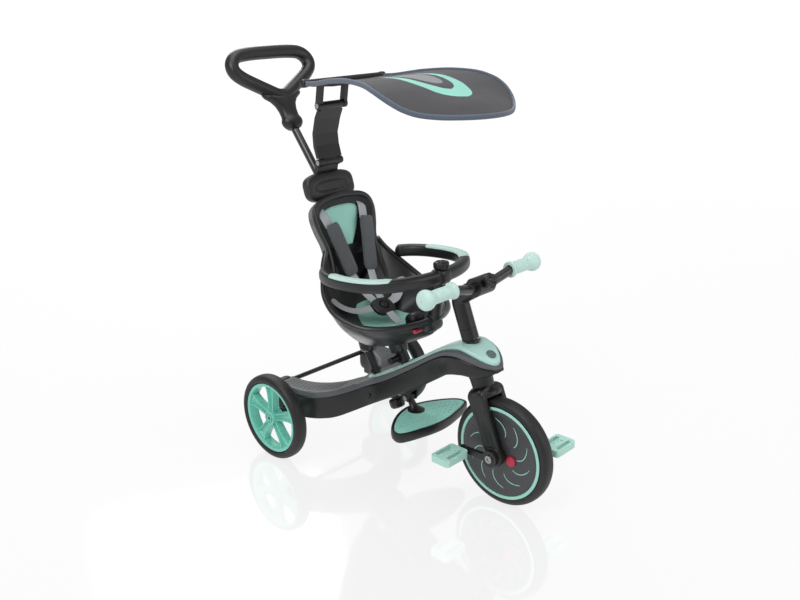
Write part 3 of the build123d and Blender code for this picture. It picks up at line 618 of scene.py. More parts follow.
@dataclass
class Chassis(Assembly):
    """Black shell, grey ribbed band and mint cover, each a strip with a soft edge."""

    beam: float = 34.0
    head: float = 55.0

    def build(self) -> None:
        """Make the shell, the band, the cover and the small pieces."""
        shell = self.half_widths(self.beam, self.head, 527)
        self.strip(
            "chassis shell", "black_plastic", "chassis_shell", shell, FOOT, lambda x: SHELL_TOP(x) + 0.6, 5,
            True
        )
        band = self.half_widths(self.beam - 1, self.head - 0.5, 525)
        self.strip(
            "deck band", "grey_deck", "deck_band", band, lambda x: SHELL_TOP(x) - 1.0, BAND_TOP, 3.5, True
        )
        cover = Profile([
            (118, 4), (124, 15), (140, 21), (160, 22.5), (330, 23), (380, 31), (420, 41.5), (450, 43),
            (470, 40), (486, 34.5), (498, 27), (508, 18), (514, 10), (516.5, 0.2)
        ])
        self.strip(
            "top cover", "mint_cover", "head_and_beam_cover", cover, lambda x: BAND_TOP(x) - 4, CROWN, 6,
            False
        )
        self.ribs()
        self.housings()

    def half_widths(self, beam: float, head: float, nose: float) -> Profile:
        """Half width of a layer along the beam and the head."""
        return Profile([(128, beam + 40), (140, beam + 20), (160, beam + 6), (
            190, beam + 1.5
        ), (330, beam), (380, beam + 8), (415, head - 2), (440, head + 1),
                        (460, head - 1), (480, head * 0.87), (498, head * 0.68), (512, head * 0.44), (
                            nose - 5, head * 0.25
                        ), (nose - 1.5, head * 0.12), (nose, 1.0)])

    def strip(self, name: str, slot: str, node: str, half: Profile, low: Callable[
        [float], float
    ], high: Callable[[float], float],
              round_mm: float, arms: bool) -> None:
        """A layer between two heights whose edge follows a half width, with or without the arms."""
        start, stop = half.points[0][0], half.points[-1][0]
        count = 110
        xs = [stop + (start - stop) * k / count for k in range(count + 1)]
        rails = [(Vector((x, 0, 0)), Vector((x, half(x), 0))) for x in xs if not arms or x >= 131]
        if arms:
            inner, outer = smooth_path(ARM_INNER, 5), smooth_path(ARM_OUTER, 5)
            rails += list(zip(inner, outer))
        sculpt = Sculpt()
        rings = []
        for a, b in rails:
            along = (b - a).normalized() if (b - a).length > 1e-6 else Vector((0, 1, 0))
            open_edge = round_mm if a.y > 0.5 else 0.0
            width = (b - a).length
            r = min(round_mm, width * 0.45)
            ring = []
            for share in (0.0, 0.12, 0.3, 0.5, 0.7, 0.86):
                ring.append((open_edge + (width - open_edge - r) * share, 1, 0.0))
            for k in range(5):
                q = math.pi / 2 * k / 4
                ring.append((width - r + r * math.sin(q), 1, r * (1 - math.cos(q))))
            for k in range(5):
                q = math.pi / 2 * k / 4
                ring.append((width - r + r * math.cos(q), 0, r * (1 - math.sin(q))))
            ring.append((open_edge, 0, 0.0))
            if open_edge:
                ring += [
                    (open_edge * 0.3, 0, open_edge * 0.3), (0.0, 0, open_edge), (0.0, 1, open_edge),
                    (open_edge * 0.3, 1, open_edge * 0.3)
                ]
            else:
                ring += [(0.0, 0, 0.0), (0.0, 0, 0.0), (0.0, 1, 0.0), (0.0, 1, 0.0)]
            made = []
            for s, top, drop in ring:
                p = a + along * s
                crown = 0.06 * self.beam * (p.y / max(half(p.x), 1)) ** 2 if p.x > 128 else 0.0
                made.append(Vector((p.x, p.y, high(p.x) - drop - crown if top else low(p.x) + drop)))
            rings.append(made)
        sculpt.skin(rings, caps=False)
        base = len(sculpt.verts) - len(rings[0])
        sculpt.faces.append([base + k for k in range(len(rings[0]))])
        sculpt.mirror()
        show(sculpt, name, "frame", slot, [node])

    def ribs(self) -> None:
        """Shallow radial ribs on the band over the arms."""
        sculpt = Sculpt()
        inner, outer = smooth_path(ARM_INNER, 6), smooth_path(ARM_OUTER, 6)
        for a, b in list(zip(inner, outer))[16:-4:2]:
            for sign in SIDES.values():
                path = []
                for k in range(5):
                    p = a.lerp(b, 0.16 + 0.66 * k / 4)
                    path.append(Vector((p.x, sign * p.y, BAND_TOP(p.x) + 0.1)))
                sculpt.sweep(
                    path, pillow(0.9, 1.3, 2.5, 10), Vector((0, 0, 1)),
                    lambda t: 0.5 + 0.5 * math.sin(math.pi * t) ** 0.4
                )
        show(sculpt, "band ribs", "frame", "grey_deck")

    def housings(self) -> None:
        """Rounded caps at the arm ends, the axle bosses and the recessed screws of the shell."""
        sculpt = Sculpt()
        axes = (Vector((1, 0, 0)), Vector((0, 1, 0)), Vector((0, 0, 1)))
        for sign in SIDES.values():
            sculpt.blob((-41, sign * 150, 142), axes, (16, 27, 35), 3.4)
            boss = [(5.2, 150), (15, 150), (15, 190), (13.5, 196.5), (8, 197), (5.2, 197)]
            sculpt.lathe([(r, sign * y) for r, y in boss], 0, 108, 40)
        neck = [
            [HEAD + STEER_UP * s + STEER_FRONT * (a * r) + Vector((0, b * r, 0)) for a, b in circle(1.0, 44)]
            for s, r in ((-54, 35), (-68, 31), (-76, 28), (-86, 26.2), (-100, 25.4), (-105.5, 25.2))
        ]
        sculpt.skin(neck)
        show(sculpt, "arm housings", "frame", "black_plastic")
        holes = Sculpt()
        for sign in SIDES.values():
            for x, z, r in ((153, 152, 5.5), (317, 253, 5.5), (236, 196, 3.4), (385, 296, 3.4)):
                y = sign * (self.half_widths(self.beam, self.head, 527)(x) + 0.15)
                holes.lathe(
                    [
                        (r * 0.5, y - sign * 4), (r * 0.9, y - sign * 4), (r * 0.95, y), (r * 1.25, y),
                        (r * 1.25, y - sign)
                    ],
                    x, z, 28
                )
        show(holes, "side hole rims", "frame", "black_plastic")
        plug = Sculpt()
        centre, up = Vector((496.5, 0, 348.6)), Vector((0.45, 0, 0.893))
        first, second = Vector((0, 1, 0)), Vector((0.893, 0, -0.45))
        rings = [[centre + first * (a * r) + second * (b * r) + up * h for a, b in circle(1.0, 36)]
                 for r, h in (
                     (11.5, -2), (11.5, 1.2), (10.6, 2.2), (8.2, 2.2), (7.6, 1.4), (5.6, 1.4), (5, 2.2),
                     (0.5, 2.5)
                 )]
        plug.skin(rings)
        show(plug, "nose plug", "frame", "plug_grey", ["nose_plug"])


# ------------------------------------------------------------------ steering
HEAD = Vector((439, 0, 366))
TILT = math.radians(21.5)
STEER_UP = Vector((-math.sin(TILT), 0, math.cos(TILT)))
STEER_FRONT = Vector((math.cos(TILT), 0, math.sin(TILT)))


@dataclass
class Fork(Assembly):
    """The moulded fork: a domed crown, two blades with oval recesses and round bosses."""

    blade_y: float = 31.0
    thickness: float = 8.6
    depth: float = 21.5

    def build(self) -> None:
        """Make the fork."""
        sculpt = Sculpt()
        axle, shoulder = Vector((540, 0, 127)), Vector((487, 0, 246))
        down = (axle - shoulder).normalized()
        front = Vector((-down.z, 0, down.x))
        path, flags = [], []
        for k in range(25):
            path.append(axle.lerp(shoulder, k / 24) + Vector((0, -self.blade_y, 0)))
            flags.append(k / 24)
        for k in range(1, 20):
            a = math.pi * k / 20
            lift = math.sin(a) ** 0.6 * 17
            path.append(shoulder - down * lift + Vector((0, -self.blade_y * math.cos(a), 0)))
            flags.append(1.2)
        for k in range(25):
            path.append(shoulder.lerp(axle, k / 24) + Vector((0, self.blade_y, 0)))
            flags.append(1 - k / 24)
        rings = []
        for i, (p, f) in enumerate(zip(path, flags)):
            after, before = path[min(i + 1, len(path) - 1)], path[max(i - 1, 0)]
            along = (after - before).normalized()
            out = front.cross(along)
            if out.y * p.y < 0 and abs(p.y) > 1:
                out = -out
            elif abs(p.y) <= 1:
                out = -down
            depth = self.depth * (0.98 + 0.1 * min(f, 1.0))
            thick = self.thickness * (1.0 if f <= 1 else 1.18)
            recess = 2.6 if 0.24 < f < 0.86 else (1.3 if 0.2 < f < 0.9 else 0.0)
            narrow = 0.62 if 0.3 < f < 0.8 else 0.5
            outline = []
            for a, b in pillow(depth, thick, 5, 44):
                share = abs(a) / depth
                if b > thick * 0.8 and share < narrow:
                    b -= recess
                outline.append(p + front * a + out * b)
            rings.append(outline)
        flip = [list(reversed(r)) if i > len(rings) // 2 else r for i, r in enumerate(rings)]
        sculpt.skin(rings if self.same_turn(rings) else flip)
        crown = []
        foot = HEAD + STEER_UP * -126
        for r, h in ((36, -3), (37.5, 2), (35.5, 7), (32, 11), (28.4, 14), (26, 17), (25, 19)):
            crown.append([
                foot + STEER_FRONT * (a * r * 0.92) + Vector((0, b * r, 0)) + STEER_UP * h for a,
                b in circle(1.0, 48)
            ])
        sculpt.skin(crown)
        sculpt.blob(tuple(shoulder - down * 14), (front, Vector((0, 1, 0)), -down), (25, 39.8, 11.6), 2.8)
        for sign in SIDES.values():
            boss = [(9, 22.6), (23, 22.6), (23.5, 26), (23.5, 39), (22, 42), (18, 43.4), (9, 43.4)]
            sculpt.lathe([(r, sign * y) for r, y in boss], 540, 127, 48)
        show(sculpt, "fork moulding", "steering", "black_plastic", ["fork"])

    def same_turn(self, rings: list[Ring]) -> bool:
        """Whether neighbouring rings keep the same vertex order all along."""
        return all((rings[i][0] - rings[i + 1][0]).length < 30 for i in range(len(rings) - 1))


@dataclass
class Grips(Assembly):
    """Two soft grips with a flange and a bulb end, ringed for the fingers."""

    x: float = 466.0
    z: float = 513.0

    def build(self) -> None:
        """Make both grips."""
        sculpt = Sculpt()
        for sign in SIDES.values():
            profile = [(10.8, 95), (16.5, 95.2), (18.6, 97.5), (18.6, 100), (16.8, 102.6), (14.8, 105)]
            for k in range(9):
                y = 108 + 6 * k
                profile += [(14.7, y), (14.1, y + 1.2), (14.1, y + 1.9), (14.7, y + 3)]
            profile += [
                (15.4, 164), (18.2, 169), (21, 174.5), (22, 180), (21.2, 186), (17.6, 191), (11, 193.6),
                (1, 194.2)
            ]
            sculpt.lathe([(r, sign * y) for r, y in profile], self.x, self.z, 48, closed=False)
        show(sculpt, "soft grips", "handlebar", "mint_grip", ["grips"])


def knob(
    sculpt: Sculpt, centre: Vector, up: Vector, side: Vector, radius: float, height: float, lobes: int,
    depth: float = 0.12
) -> None:
    """Add a turned knob with finger lobes and a shallow dish."""
    across = up.cross(side)
    rings = []
    for share, h in (
        (0.3, 0.0), (0.84, 0.0), (0.96, 0.1), (1.0, 0.28), (1.0, 0.66), (0.95, 0.84), (0.8, 0.97), (0.6, 1.0),
        (0.52, 0.9), (0.4, 0.88), (0.3, 1.02), (0.02, 1.06)
    ):
        ring = []
        for k in range(72):
            a = 2 * math.pi * k / 72
            wave = 1 - depth * (0.5 + 0.5 * math.cos(lobes * a)) ** 2 if share > 0.75 else 1.0
            r = radius * share * wave
            ring.append(centre + side * (r * math.cos(a)) + across * (r * math.sin(a)) + up * (h * height))
        rings.append(ring)
    sculpt.skin(rings)


@dataclass
class Knobs(Assembly):
    """The three clamp knobs."""

    def build(self) -> None:
        """Make the knobs of the bar, the ring and the beam."""
        side = Vector((0, 1, 0))
        bar, ring, beam = Sculpt(), Sculpt(), Sculpt()
        knob(bar, Vector((481.8, 0, 512.2)), Vector((0.84, 0, 0.543)).normalized(), side, 17.5, 15, 6)
        show(bar, "bar knob", "bar_knob", "black_plastic", ["handlebar_knob"])
        up = Vector((-math.sin(math.radians(4)), 0, math.cos(math.radians(4))))
        knob(ring, Vector((350.2, 0, 513.6)), up, side, 18.5, 17, 7, 0.1)
        show(ring, "ring knob piece", "ring_knob", "black_plastic", ["ring_knob"])
        knob(beam, Vector((205, 0, 147)), Vector((0.42, 0, -0.907)).normalized(), side, 19, 24, 9, 0.07)
        show(beam, "beam knob piece", "beam_knob", "black_plastic", ["beam_knob"])


# ------------------------------------------------------------------ seat
RIM = [
    (336, 0, 391), (330, 24, 388), (312, 58, 382), (285, 100, 379), (250, 134, 380), (214, 150, 386),
    (166, 159, 402), (122, 148, 430), (92, 124, 462), (72, 104, 488), (62, 86, 514)
]
KEEL = [
    (334, 0, 362), (327, 0, 352), (312, 0, 341), (284, 0, 325), (248, 0, 306), (210, 0, 290), (164, 0, 274),
    (120, 0, 268), (86, 0, 278), (64, 0, 302), (56, 0, 332)
]
FLOOR = [
    (326, 0, 386), (312, 0, 378), (296, 0, 370), (272, 0, 360), (240, 0, 351), (204, 0, 339), (165, 0, 332),
    (128, 0, 343), (104, 0, 372), (90, 0, 405), (84, 0, 425)
]
BACK_TILT = math.radians(18.3)
BACK_UP = Vector((-math.sin(BACK_TILT), 0, math.cos(BACK_TILT)))
BACK_OUT = Vector((math.cos(BACK_TILT), 0, math.sin(BACK_TILT)))
BACK_FOOT = Vector((66, 0, 508))
BACK_HALF = Profile([
    (-114, 84), (-70, 84), (-40, 79), (-15, 77), (20, 79), (50, 88), (78, 93.5), (96, 92.5), (110, 86),
    (120, 73), (126, 54), (129.5, 24), (130.5, 2)
])


def on_back(u: float, v: float, depth: float = 0.0) -> Vector:
    """A point in backrest coordinates: u across, v up the back and depth in front of it."""
    return BACK_FOOT + BACK_UP * v + BACK_OUT * depth + Vector((0, u, 0))


@dataclass
class SeatShell(Assembly):
    """The bucket with a rolled rim, the backrest, its liner and the mint panels."""

    rim_radius: float = 6.0
    wall: float = 5.0

    def build(self) -> None:
        """Make the shell and its panels."""
        self.bucket()
        self.backrest()
        self.panels()

    def bucket(self) -> None:
        """Outer bowl, inner bowl and rolled rim."""
        sculpt = Sculpt()
        rim, keel, floor = smooth_path(RIM, 6), smooth_path(KEEL, 6), smooth_path(FLOOR, 6)
        bulge = Profile([(0, 0), (0.2, 0.07), (0.4, 0.2), (0.62, 0.4), (0.8, 0.6), (0.93, 0.82), (1.0, 1.0)])
        for sign in (-1, 1):
            outer, inner = [], []
            for r, k, f in zip(rim, keel, floor):
                edge = Vector((r.x, sign * r.y, r.z))
                row_out, row_in = [], []
                for s in range(19):
                    t = s / 18
                    lean = t * t * (3 - 2 * t)
                    row_out.append(Vector((
                        k.x + (edge.x - k.x) * lean, edge.y * math.sin(t * math.pi / 2) ** 0.9,
                        k.z + (edge.z - k.z) * bulge(math.sin(t * math.pi / 2) ** 0.9)
                    )))
                    well = bulge(math.sin(t * math.pi / 2) ** 0.8)
                    row_in.append(Vector((
                        f.x + (edge.x - f.x) * lean * 0.96,
                        edge.y * (math.sin(t * math.pi / 2) ** 0.8) * 0.97, f.z + (edge.z + 1 - f.z) * well
                    )))
                outer.append(row_out)
                inner.append(row_in)
            sculpt.skin(outer, closed=False)
            sculpt.skin(inner, closed=False)
            last = outer[-1]
            wall = [
                [
                    Vector((p.x - 7 * (1 - t * t) * min(1.0, abs(p.y) / 40), p.y * t, p.z))
                    for t in (1, 0.8, 0.6, 0.4, 0.2, 0)
                ]
                for p in last
            ]
            sculpt.skin(wall, closed=False)
        path = [Vector((p.x, -p.y, p.z)) for p in reversed(rim)][:-1] + list(rim)
        sculpt.sweep(path, pillow(self.rim_radius, self.rim_radius + 1, 2.4, 20))
        axes = (
            Vector((math.cos(0.26), 0, math.sin(0.26))), Vector((0, 1, 0)),
            Vector((-math.sin(0.26), 0, math.cos(0.26)))
        )
        sculpt.blob((322, 0, 374), axes, (17, 30, 17), 2.8)
        for x, y, z in ((110, 0, 268), (213, 0, 292)):
            sculpt.blob((x, y, z), (BACK_OUT, Vector((0, 1, 0)), BACK_UP), (23, 17, 22), 3.5)
        show(sculpt, "seat bucket", "seat", "seat_grey", ["seat_shell"])
        pommel = Sculpt()
        pommel.blob((270, 0, 370), axes, (20, 23, 19), 2.6)
        show(pommel, "seat pommel", "seat", "black_plastic")
        button = Sculpt()
        profile = [(0.2, -55.4), (3.6, -55.2), (4.9, -54), (5, -52), (5, -29.5), (0.2, -29.5)]
        button.lathe(profile, 317, 368, 32, closed=False)
        show(button, "ring release button piece", "ring_button", "red_button", ["ring_release_button"])

    def backrest(self) -> None:
        """The curved back with its rolled edge and the black liner."""
        sculpt, liner = Sculpt(), Sculpt()
        vs = [-112 + 242.5 * (1 - (1 - k / 52) ** 1.35) for k in range(53)]
        front, back, lining = [], [], []
        for v in vs:
            w = BACK_HALF(v)
            row_f, row_b, row_l = [], [], []
            top = min(1.0, max(0.0, (130.5 - v) / 26)) ** 0.5
            for k in range(25):
                t = -1 + 2 * k / 24
                cup = (1 - abs(t) ** 2.6) * top
                row_f.append(on_back(w * t, v, -20 * cup))
                row_b.append(on_back((w + 5) * t, v, -6 - 34 * (1 - abs(t) ** 9) ** 0.5 * (0.4 + 0.6 * top)))
                row_l.append(on_back(w * 0.93 * t, min(v, 124), -19 * (1 - abs(t) ** 3.5) * top + 0.8 * top))
            front.append(row_f)
            back.append(row_b)
            lining.append(row_l)
        sculpt.skin(front, closed=False)
        sculpt.skin(back, closed=False)
        edge = [on_back(BACK_HALF(v), v, -2.5) for v in vs]
        path = [Vector((p.x, -p.y, p.z)) for p in edge] + [Vector(p) for p in reversed(edge)]
        sculpt.sweep(path, pillow(5.6, 6.4, 2.4, 18), Vector((0.95, 0, 0.31)))
        axis = Vector((-0.6223, 0, 0.7828))
        rings = [[
            Vector((
                -26, 0, 634.8
            )) + axis * s + Vector((0, 1, 0)) * (a * r) + axis.cross(Vector((0, 1, 0))) * (b * r) for a,
            b in circle(1.0, 32)
        ]
                 for s, r in ((-46, 13.9), (-3, 13.9), (0, 13), (0, 10.4))]
        sculpt.skin(rings, caps=False)
        show(sculpt, "seat back", "seat", "seat_grey", ["back_shell"])
        liner.skin(lining, closed=False)
        show(liner, "liner", "seat", "black_plastic", ["back_liner"])

    def panels(self) -> None:
        """The mint drop on the back and the mint seat panel."""
        drop = Profile([
            (-4, 3), (2, 11), (12, 17), (40, 36), (70, 49), (88, 56), (97, 54), (103, 45), (107, 27), (108, 2)
        ])
        sculpt = Sculpt()
        rows = []
        for k in range(41):
            v = -4 + 112 * (0.5 - 0.5 * math.cos(math.pi * k / 40))
            w = drop(v)
            row = []
            for j in range(17):
                t = -1 + 2 * j / 16
                edge = min(1.0, (1 - abs(t)) * 5, (v + 4) / 6 + 0.01, (108.2 - v) / 6)
                row.append(on_back(
                    w * t, v, -15.2 + 3.6 * math.sqrt(max(edge, 0.0)) - 2.0 * (1 - (w * t / 56) ** 2)
                ))
            rows.append(row)
        sculpt.skin(rows, closed=False)
        show(sculpt, "back panel", "seat", "mint_panel", ["back_insert"])
        floor = Profile([(p[0], p[2]) for p in FLOOR])
        wide = Profile([
            (102, 3), (105, 30), (111, 48), (124, 62), (146, 69), (180, 68), (208, 61), (230, 47), (244, 28),
            (250, 3)
        ])
        seat = Sculpt()
        rows = []
        for k in range(41):
            x = 102 + 148 * (0.5 - 0.5 * math.cos(math.pi * k / 40))
            w = wide(x)
            row = []
            for j in range(21):
                t = -1 + 2 * j / 20
                edge = min(1.0, (1 - abs(t)) * 6, (x - 101.8) / 7, (250.2 - x) / 7)
                lift = 0.0026 * (w * t) ** 2 + 7.0
                row.append(Vector((x, w * t, floor(x) + lift - 5 + 5 * math.sqrt(max(edge, 0.0)))))
            rows.append(row)
        seat.skin(rows, closed=False)
        show(seat, "seat panel", "seat", "mint_panel", ["seat_insert"])


@dataclass
class Headrest(Assembly):
    """The foam headrest with a recessed slot across its face."""

    half_width: float = 76.0
    half_height: float = 36.0

    def build(self) -> None:
        """Make the headrest."""
        sculpt = Sculpt()

        def dent(p: Vector) -> Vector:
            oval = (abs(p.x / 0.66) ** 4 + abs(p.y / 0.34) ** 2.4) ** (1 / 2.8)
            if p.z > 0.2:
                groove = math.exp(-(((oval - 1) / 0.1) ** 2)) * 0.16
                inside = 0.09 if oval < 0.95 else 0.0
                p.z -= groove + inside
            side = 1 - 0.12 * max(0.0, abs(p.x) - 0.5)
            return Vector((p.x, p.y * side, p.z))

        centre = on_back(0, 158, -35)
        sculpt.blob(
            tuple(centre), (Vector((0, 1, 0)), BACK_UP, BACK_OUT), (self.half_width, self.half_height, 18),
            3.6, 60, dent
        )
        piece = show(sculpt, "headrest foam", "seat", "headrest_black", ["headrest"])


@dataclass
class Harness(Assembly):
    """Webbing, two quilted pads and the centre buckle."""

    def build(self) -> None:
        """Make the harness."""
        web, pads = Sculpt(), Sculpt()
        for sign in SIDES.values():
            top = [
                on_back(sign * 68, 108, -16), on_back(sign * 66, 98, -9), on_back(sign * 62, 82, -5),
                on_back(sign * 57, 62, -3)
            ]
            self.ribbon(web, top, 12.5, BACK_OUT)
            low = [(90, sign * 32, 456), (106, sign * 26, 432), (124, sign * 19, 408), (146, sign * 12, 392)]
            self.ribbon(web, [Vector(p) for p in low], 11, Vector((0.73, 0, 0.68)))
            lap = [
                (103, sign * 127, 436), (113, sign * 116, 412), (127, sign * 96, 391), (142, sign * 66, 378),
                (156, sign * 30, 380)
            ]
            self.ribbon(web, [Vector(p) for p in lap], 12, Vector((0.3, 0, 0.95)))
            self.pad(pads, Vector((51, sign * 57, 571)), Vector((92, sign * 31, 453)))
        crotch = [(222, 0, 352), (206, 0, 358), (192, 0, 366), (184, 0, 372)]
        self.ribbon(web, [Vector(p) for p in crotch], 12, Vector((0.6, 0, 0.8)))
        show(web, "webbing straps", "seat", "webbing", ["harness_webbing"])
        piece = show(pads, "shoulder pads pair", "seat", "pad_fabric", ["shoulder_pads"])
        up, side = Vector((0.5, 0, 0.87)).normalized(), Vector((0, 1, 0))
        body = Sculpt()

        def pocket(p: Vector) -> Vector:
            if p.z > 0 and math.hypot(31 * p.x, 25 * p.y) < 11.6:
                p.z = -0.1
            return p

        body.blob((165, 0, 378), (side, up.cross(side), up), (31, 25, 8), 3.2, 44, pocket)
        show(body, "buckle body", "seat", "black_plastic", ["buckle"])
        button = Sculpt()
        knob(button, Vector((165, 0, 378)) + up * 3, up, side, 10, 6.5, 1, 0.0)
        show(button, "buckle button piece", "buckle_button", "black_plastic", ["buckle_button"])

    def ribbon(self, sculpt: Sculpt, points: Sequence[Vector], half: float, normal: Vector) -> None:
        """A flat strap with a soft selvedge along a smooth path."""
        path = smooth_path(points, 10)
        section = [
            (0.9, -half * 0.9), (1.1, -half * 0.6), (1.0, 0), (1.1, half * 0.6), (0.9, half * 0.9), (0, half),
            (-0.9, half * 0.9), (-0.9, -half * 0.9), (0, -half)
        ]
        sculpt.sweep(path, section, normal)

    def pad(self, sculpt: Sculpt, top: Vector, low: Vector) -> None:
        """A padded sleeve with a bound edge and two sewn channels."""
        along = (low - top).normalized()
        normal = (Vector((0.94, 0, 0.34)) - along * Vector((0.94, 0, 0.34)).dot(along)).normalized()
        across = normal.cross(along)

        def dent(p: Vector) -> Vector:
            if abs(p.z) > 0.05:
                seam = math.exp(-(((
                    abs(p.x) - 0.93
                ) / 0.035) ** 2)) + math.exp(-(((abs(p.y) - 0.84) / 0.06) ** 2))
                p.z *= 1 - 0.3 * min(seam, 1.0)
            waist = 1 - 0.08 * (1 - p.x * p.x)
            return Vector((p.x, p.y * waist, p.z * (1 - 0.12 * p.x * p.x)))

        length = (low - top).length / 2 + 3
        sculpt.blob(
            tuple((top + low) / 2 + normal * 2.5), (along, across, normal), (length, 20.5, 4.6), 7.0, 44, dent
        )


# ------------------------------------------------------------------ safety ring
RING_TILT = math.radians(4)
RING_X = Vector((math.cos(RING_TILT), 0, math.sin(RING_TILT)))
RING_UP = Vector((-math.sin(RING_TILT), 0, math.cos(RING_TILT)))
RING_HALF = [
    (96, 115), (108, 132), (128, 148), (156, 160), (190, 165.5), (226, 166), (262, 160), (294, 144),
    (320, 116), (338, 80), (348, 42), (352, 0)
]


def on_ring(x: float, y: float, h: float = 0.0) -> Vector:
    """A point in the ring's tilted plane."""
    return Vector((0, y, 472)) + RING_X * x + RING_UP * h


@dataclass
class SafetyRing(Assembly):
    """The open padded ring, its mint top panels and the clamp with its tube."""

    half_width: float = 14.0
    half_height: float = 15.0

    def build(self) -> None:
        """Make the ring and its tube."""
        half = [on_ring(x, -y) for x, y in RING_HALF]
        full = half + [on_ring(x, y) for x, y in reversed(RING_HALF[:-1])]
        path = smooth_path(full, 8)
        sculpt = Sculpt()

        def ends(t: float) -> float:
            return min(1.0, (0.06 + min(t, 1 - t) * 42) ** 0.5)

        sculpt.sweep(path, pillow(self.half_height, self.half_width, 2.9, 32), RING_UP, ends)
        show(sculpt, "ring foam body", "ring", "ring_foam", ["safety_ring"])
        mint = Sculpt()
        for sign in SIDES.values():
            side = smooth_path([on_ring(x, sign * y) for x, y in RING_HALF[3:9]], 10)
            section = [
                (10.6, -13.4), (13.6, -11.6), (15.3, -8), (16.1, -3.5), (16.3, 0), (16.1, 3.5), (15.3, 8),
                (13.6, 11.6), (10.6, 13.4), (9, 12), (9, -12)
            ]
            rings = []
            for i, p in enumerate(side):
                t = i / (len(side) - 1)
                squeeze = min(1.0, (0.1 + min(t, 1 - t) * 9) ** 0.5)
                after, before = side[min(i + 1, len(side) - 1)], side[max(i - 1, 0)]
                along = (after - before).normalized()
                across = along.cross(RING_UP)
                outward = across if across.y * sign > 0 else -across
                rings.append([
                    p + RING_UP * (
                        9 + (a - 9) * (0.5 + 0.5 * squeeze)
                    ) + outward * (b * (0.3 + 0.7 * squeeze)) for a,
                    b in section
                ])
            mint.skin(rings)
        show(mint, "ring mint panels", "ring", "mint_grip", ["ring_inserts"])
        tee = Sculpt()
        foot, axis = Vector((330, 0, 391)), Vector((11, 0, 88)).normalized()
        first = Vector((0, 1, 0))
        second = axis.cross(first)
        rings = []
        for s, r in (
            (-31, 8.9), (0.4, 8.9), (0.6, 16.4), (3, 17.4), (7, 17), (9, 15), (70, 15), (76, 16.5),
            (88, 17.5), (94, 16.5)
        ):
            rings.append([foot + axis * s + first * (a * r) + second * (b * r) for a, b in circle(1.0, 40)])
        tee.skin(rings)
        clamp = []
        for k in range(17):
            t = -1 + 2 * k / 16
            grow = 1 - 0.16 * abs(t) ** 6
            arc = on_ring(352 - 2.4 * t * t, 19 * t)
            clamp.append([
                arc + RING_UP * (a * grow) + RING_X * (b * grow) for a, b in pillow(18.4, 17.2, 3.2, 32)
            ])
        tee.skin(clamp)
        show(tee, "ring tube and clamp", "ring", "black_plastic", ["ring_tee"])


# ------------------------------------------------------------------ push handle
@dataclass
class PushHandle(Assembly):
    """The rounded-triangle loop on its neck."""

    tilt: float = 27.0
    radius: float = 17.0

    def on_loop(self, u: float, v: float) -> Vector:
        """A point in the plane of the loop."""
        a = math.radians(self.tilt)
        return Vector((-147 - v * math.sin(a), u, 787 + v * math.cos(a)))

    def build(self) -> None:
        """Make the loop and the neck."""
        half = [
            (0, 73), (16, 76), (42, 90), (74, 108), (100, 124), (116, 140), (119, 157), (110, 172),
            (92, 181.5), (60, 185), (28, 186), (0, 186)
        ]
        full = half + [(-u, v) for u, v in reversed(half[1:-1])]
        path = smooth_path([self.on_loop(u, v) for u, v in full], 6, closed=True)
        a = math.radians(self.tilt)
        sculpt = Sculpt()
        sculpt.sweep(
            path, pillow(self.radius, self.radius - 1, 2.2, 24), Vector((math.cos(a), 0, math.sin(a))),
            closed=True
        )
        neck, front = [], Vector((math.cos(a), 0, math.sin(a)))
        for v, w, d in (
            (-16, 12, 12), (-14, 17, 15), (-8, 24, 17.5), (-2, 28, 18.5), (6, 29, 18.5), (12, 26, 17),
            (16, 24, 16), (24, 24, 16), (34, 25, 16), (48, 30, 16.5), (60, 40, 16.5), (70, 56, 15),
            (78, 62, 9)
        ):
            neck.append([
                self.on_loop(p * w, v) + front * (q * d) + Vector((3.0 - v * 0.06, 0, 0)) for p,
                q in pillow(1, 1, 2.3, 40)
            ])
        sculpt.skin(neck)
        show(sculpt, "push loop", "push_handle", "black_plastic", ["push_grip"])


# ------------------------------------------------------------------ canopy
CANOPY_EDGE = [(48, 121, 905), (58, 123, 906), (90, 128, 909), (
    130, 137, 916
), (169, 146, 922), (230, 163, 927), (290, 179, 925), (326, 187, 917), (350, 188.5, 908),
               (376, 183, 895), (398, 171, 883), (420, 151, 874), (445, 120, 869), (
                   466, 91, 867.5
               ), (484, 62, 867), (495, 36, 867), (500, 12, 867), (500.5, 0, 867)]
CANOPY_MID = Profile([
    (48, 903), (90, 903), (169, 916), (230, 925), (290, 926), (345, 916), (380, 905), (410, 897), (445, 888),
    (480, 875), (500.5, 867.5)
])


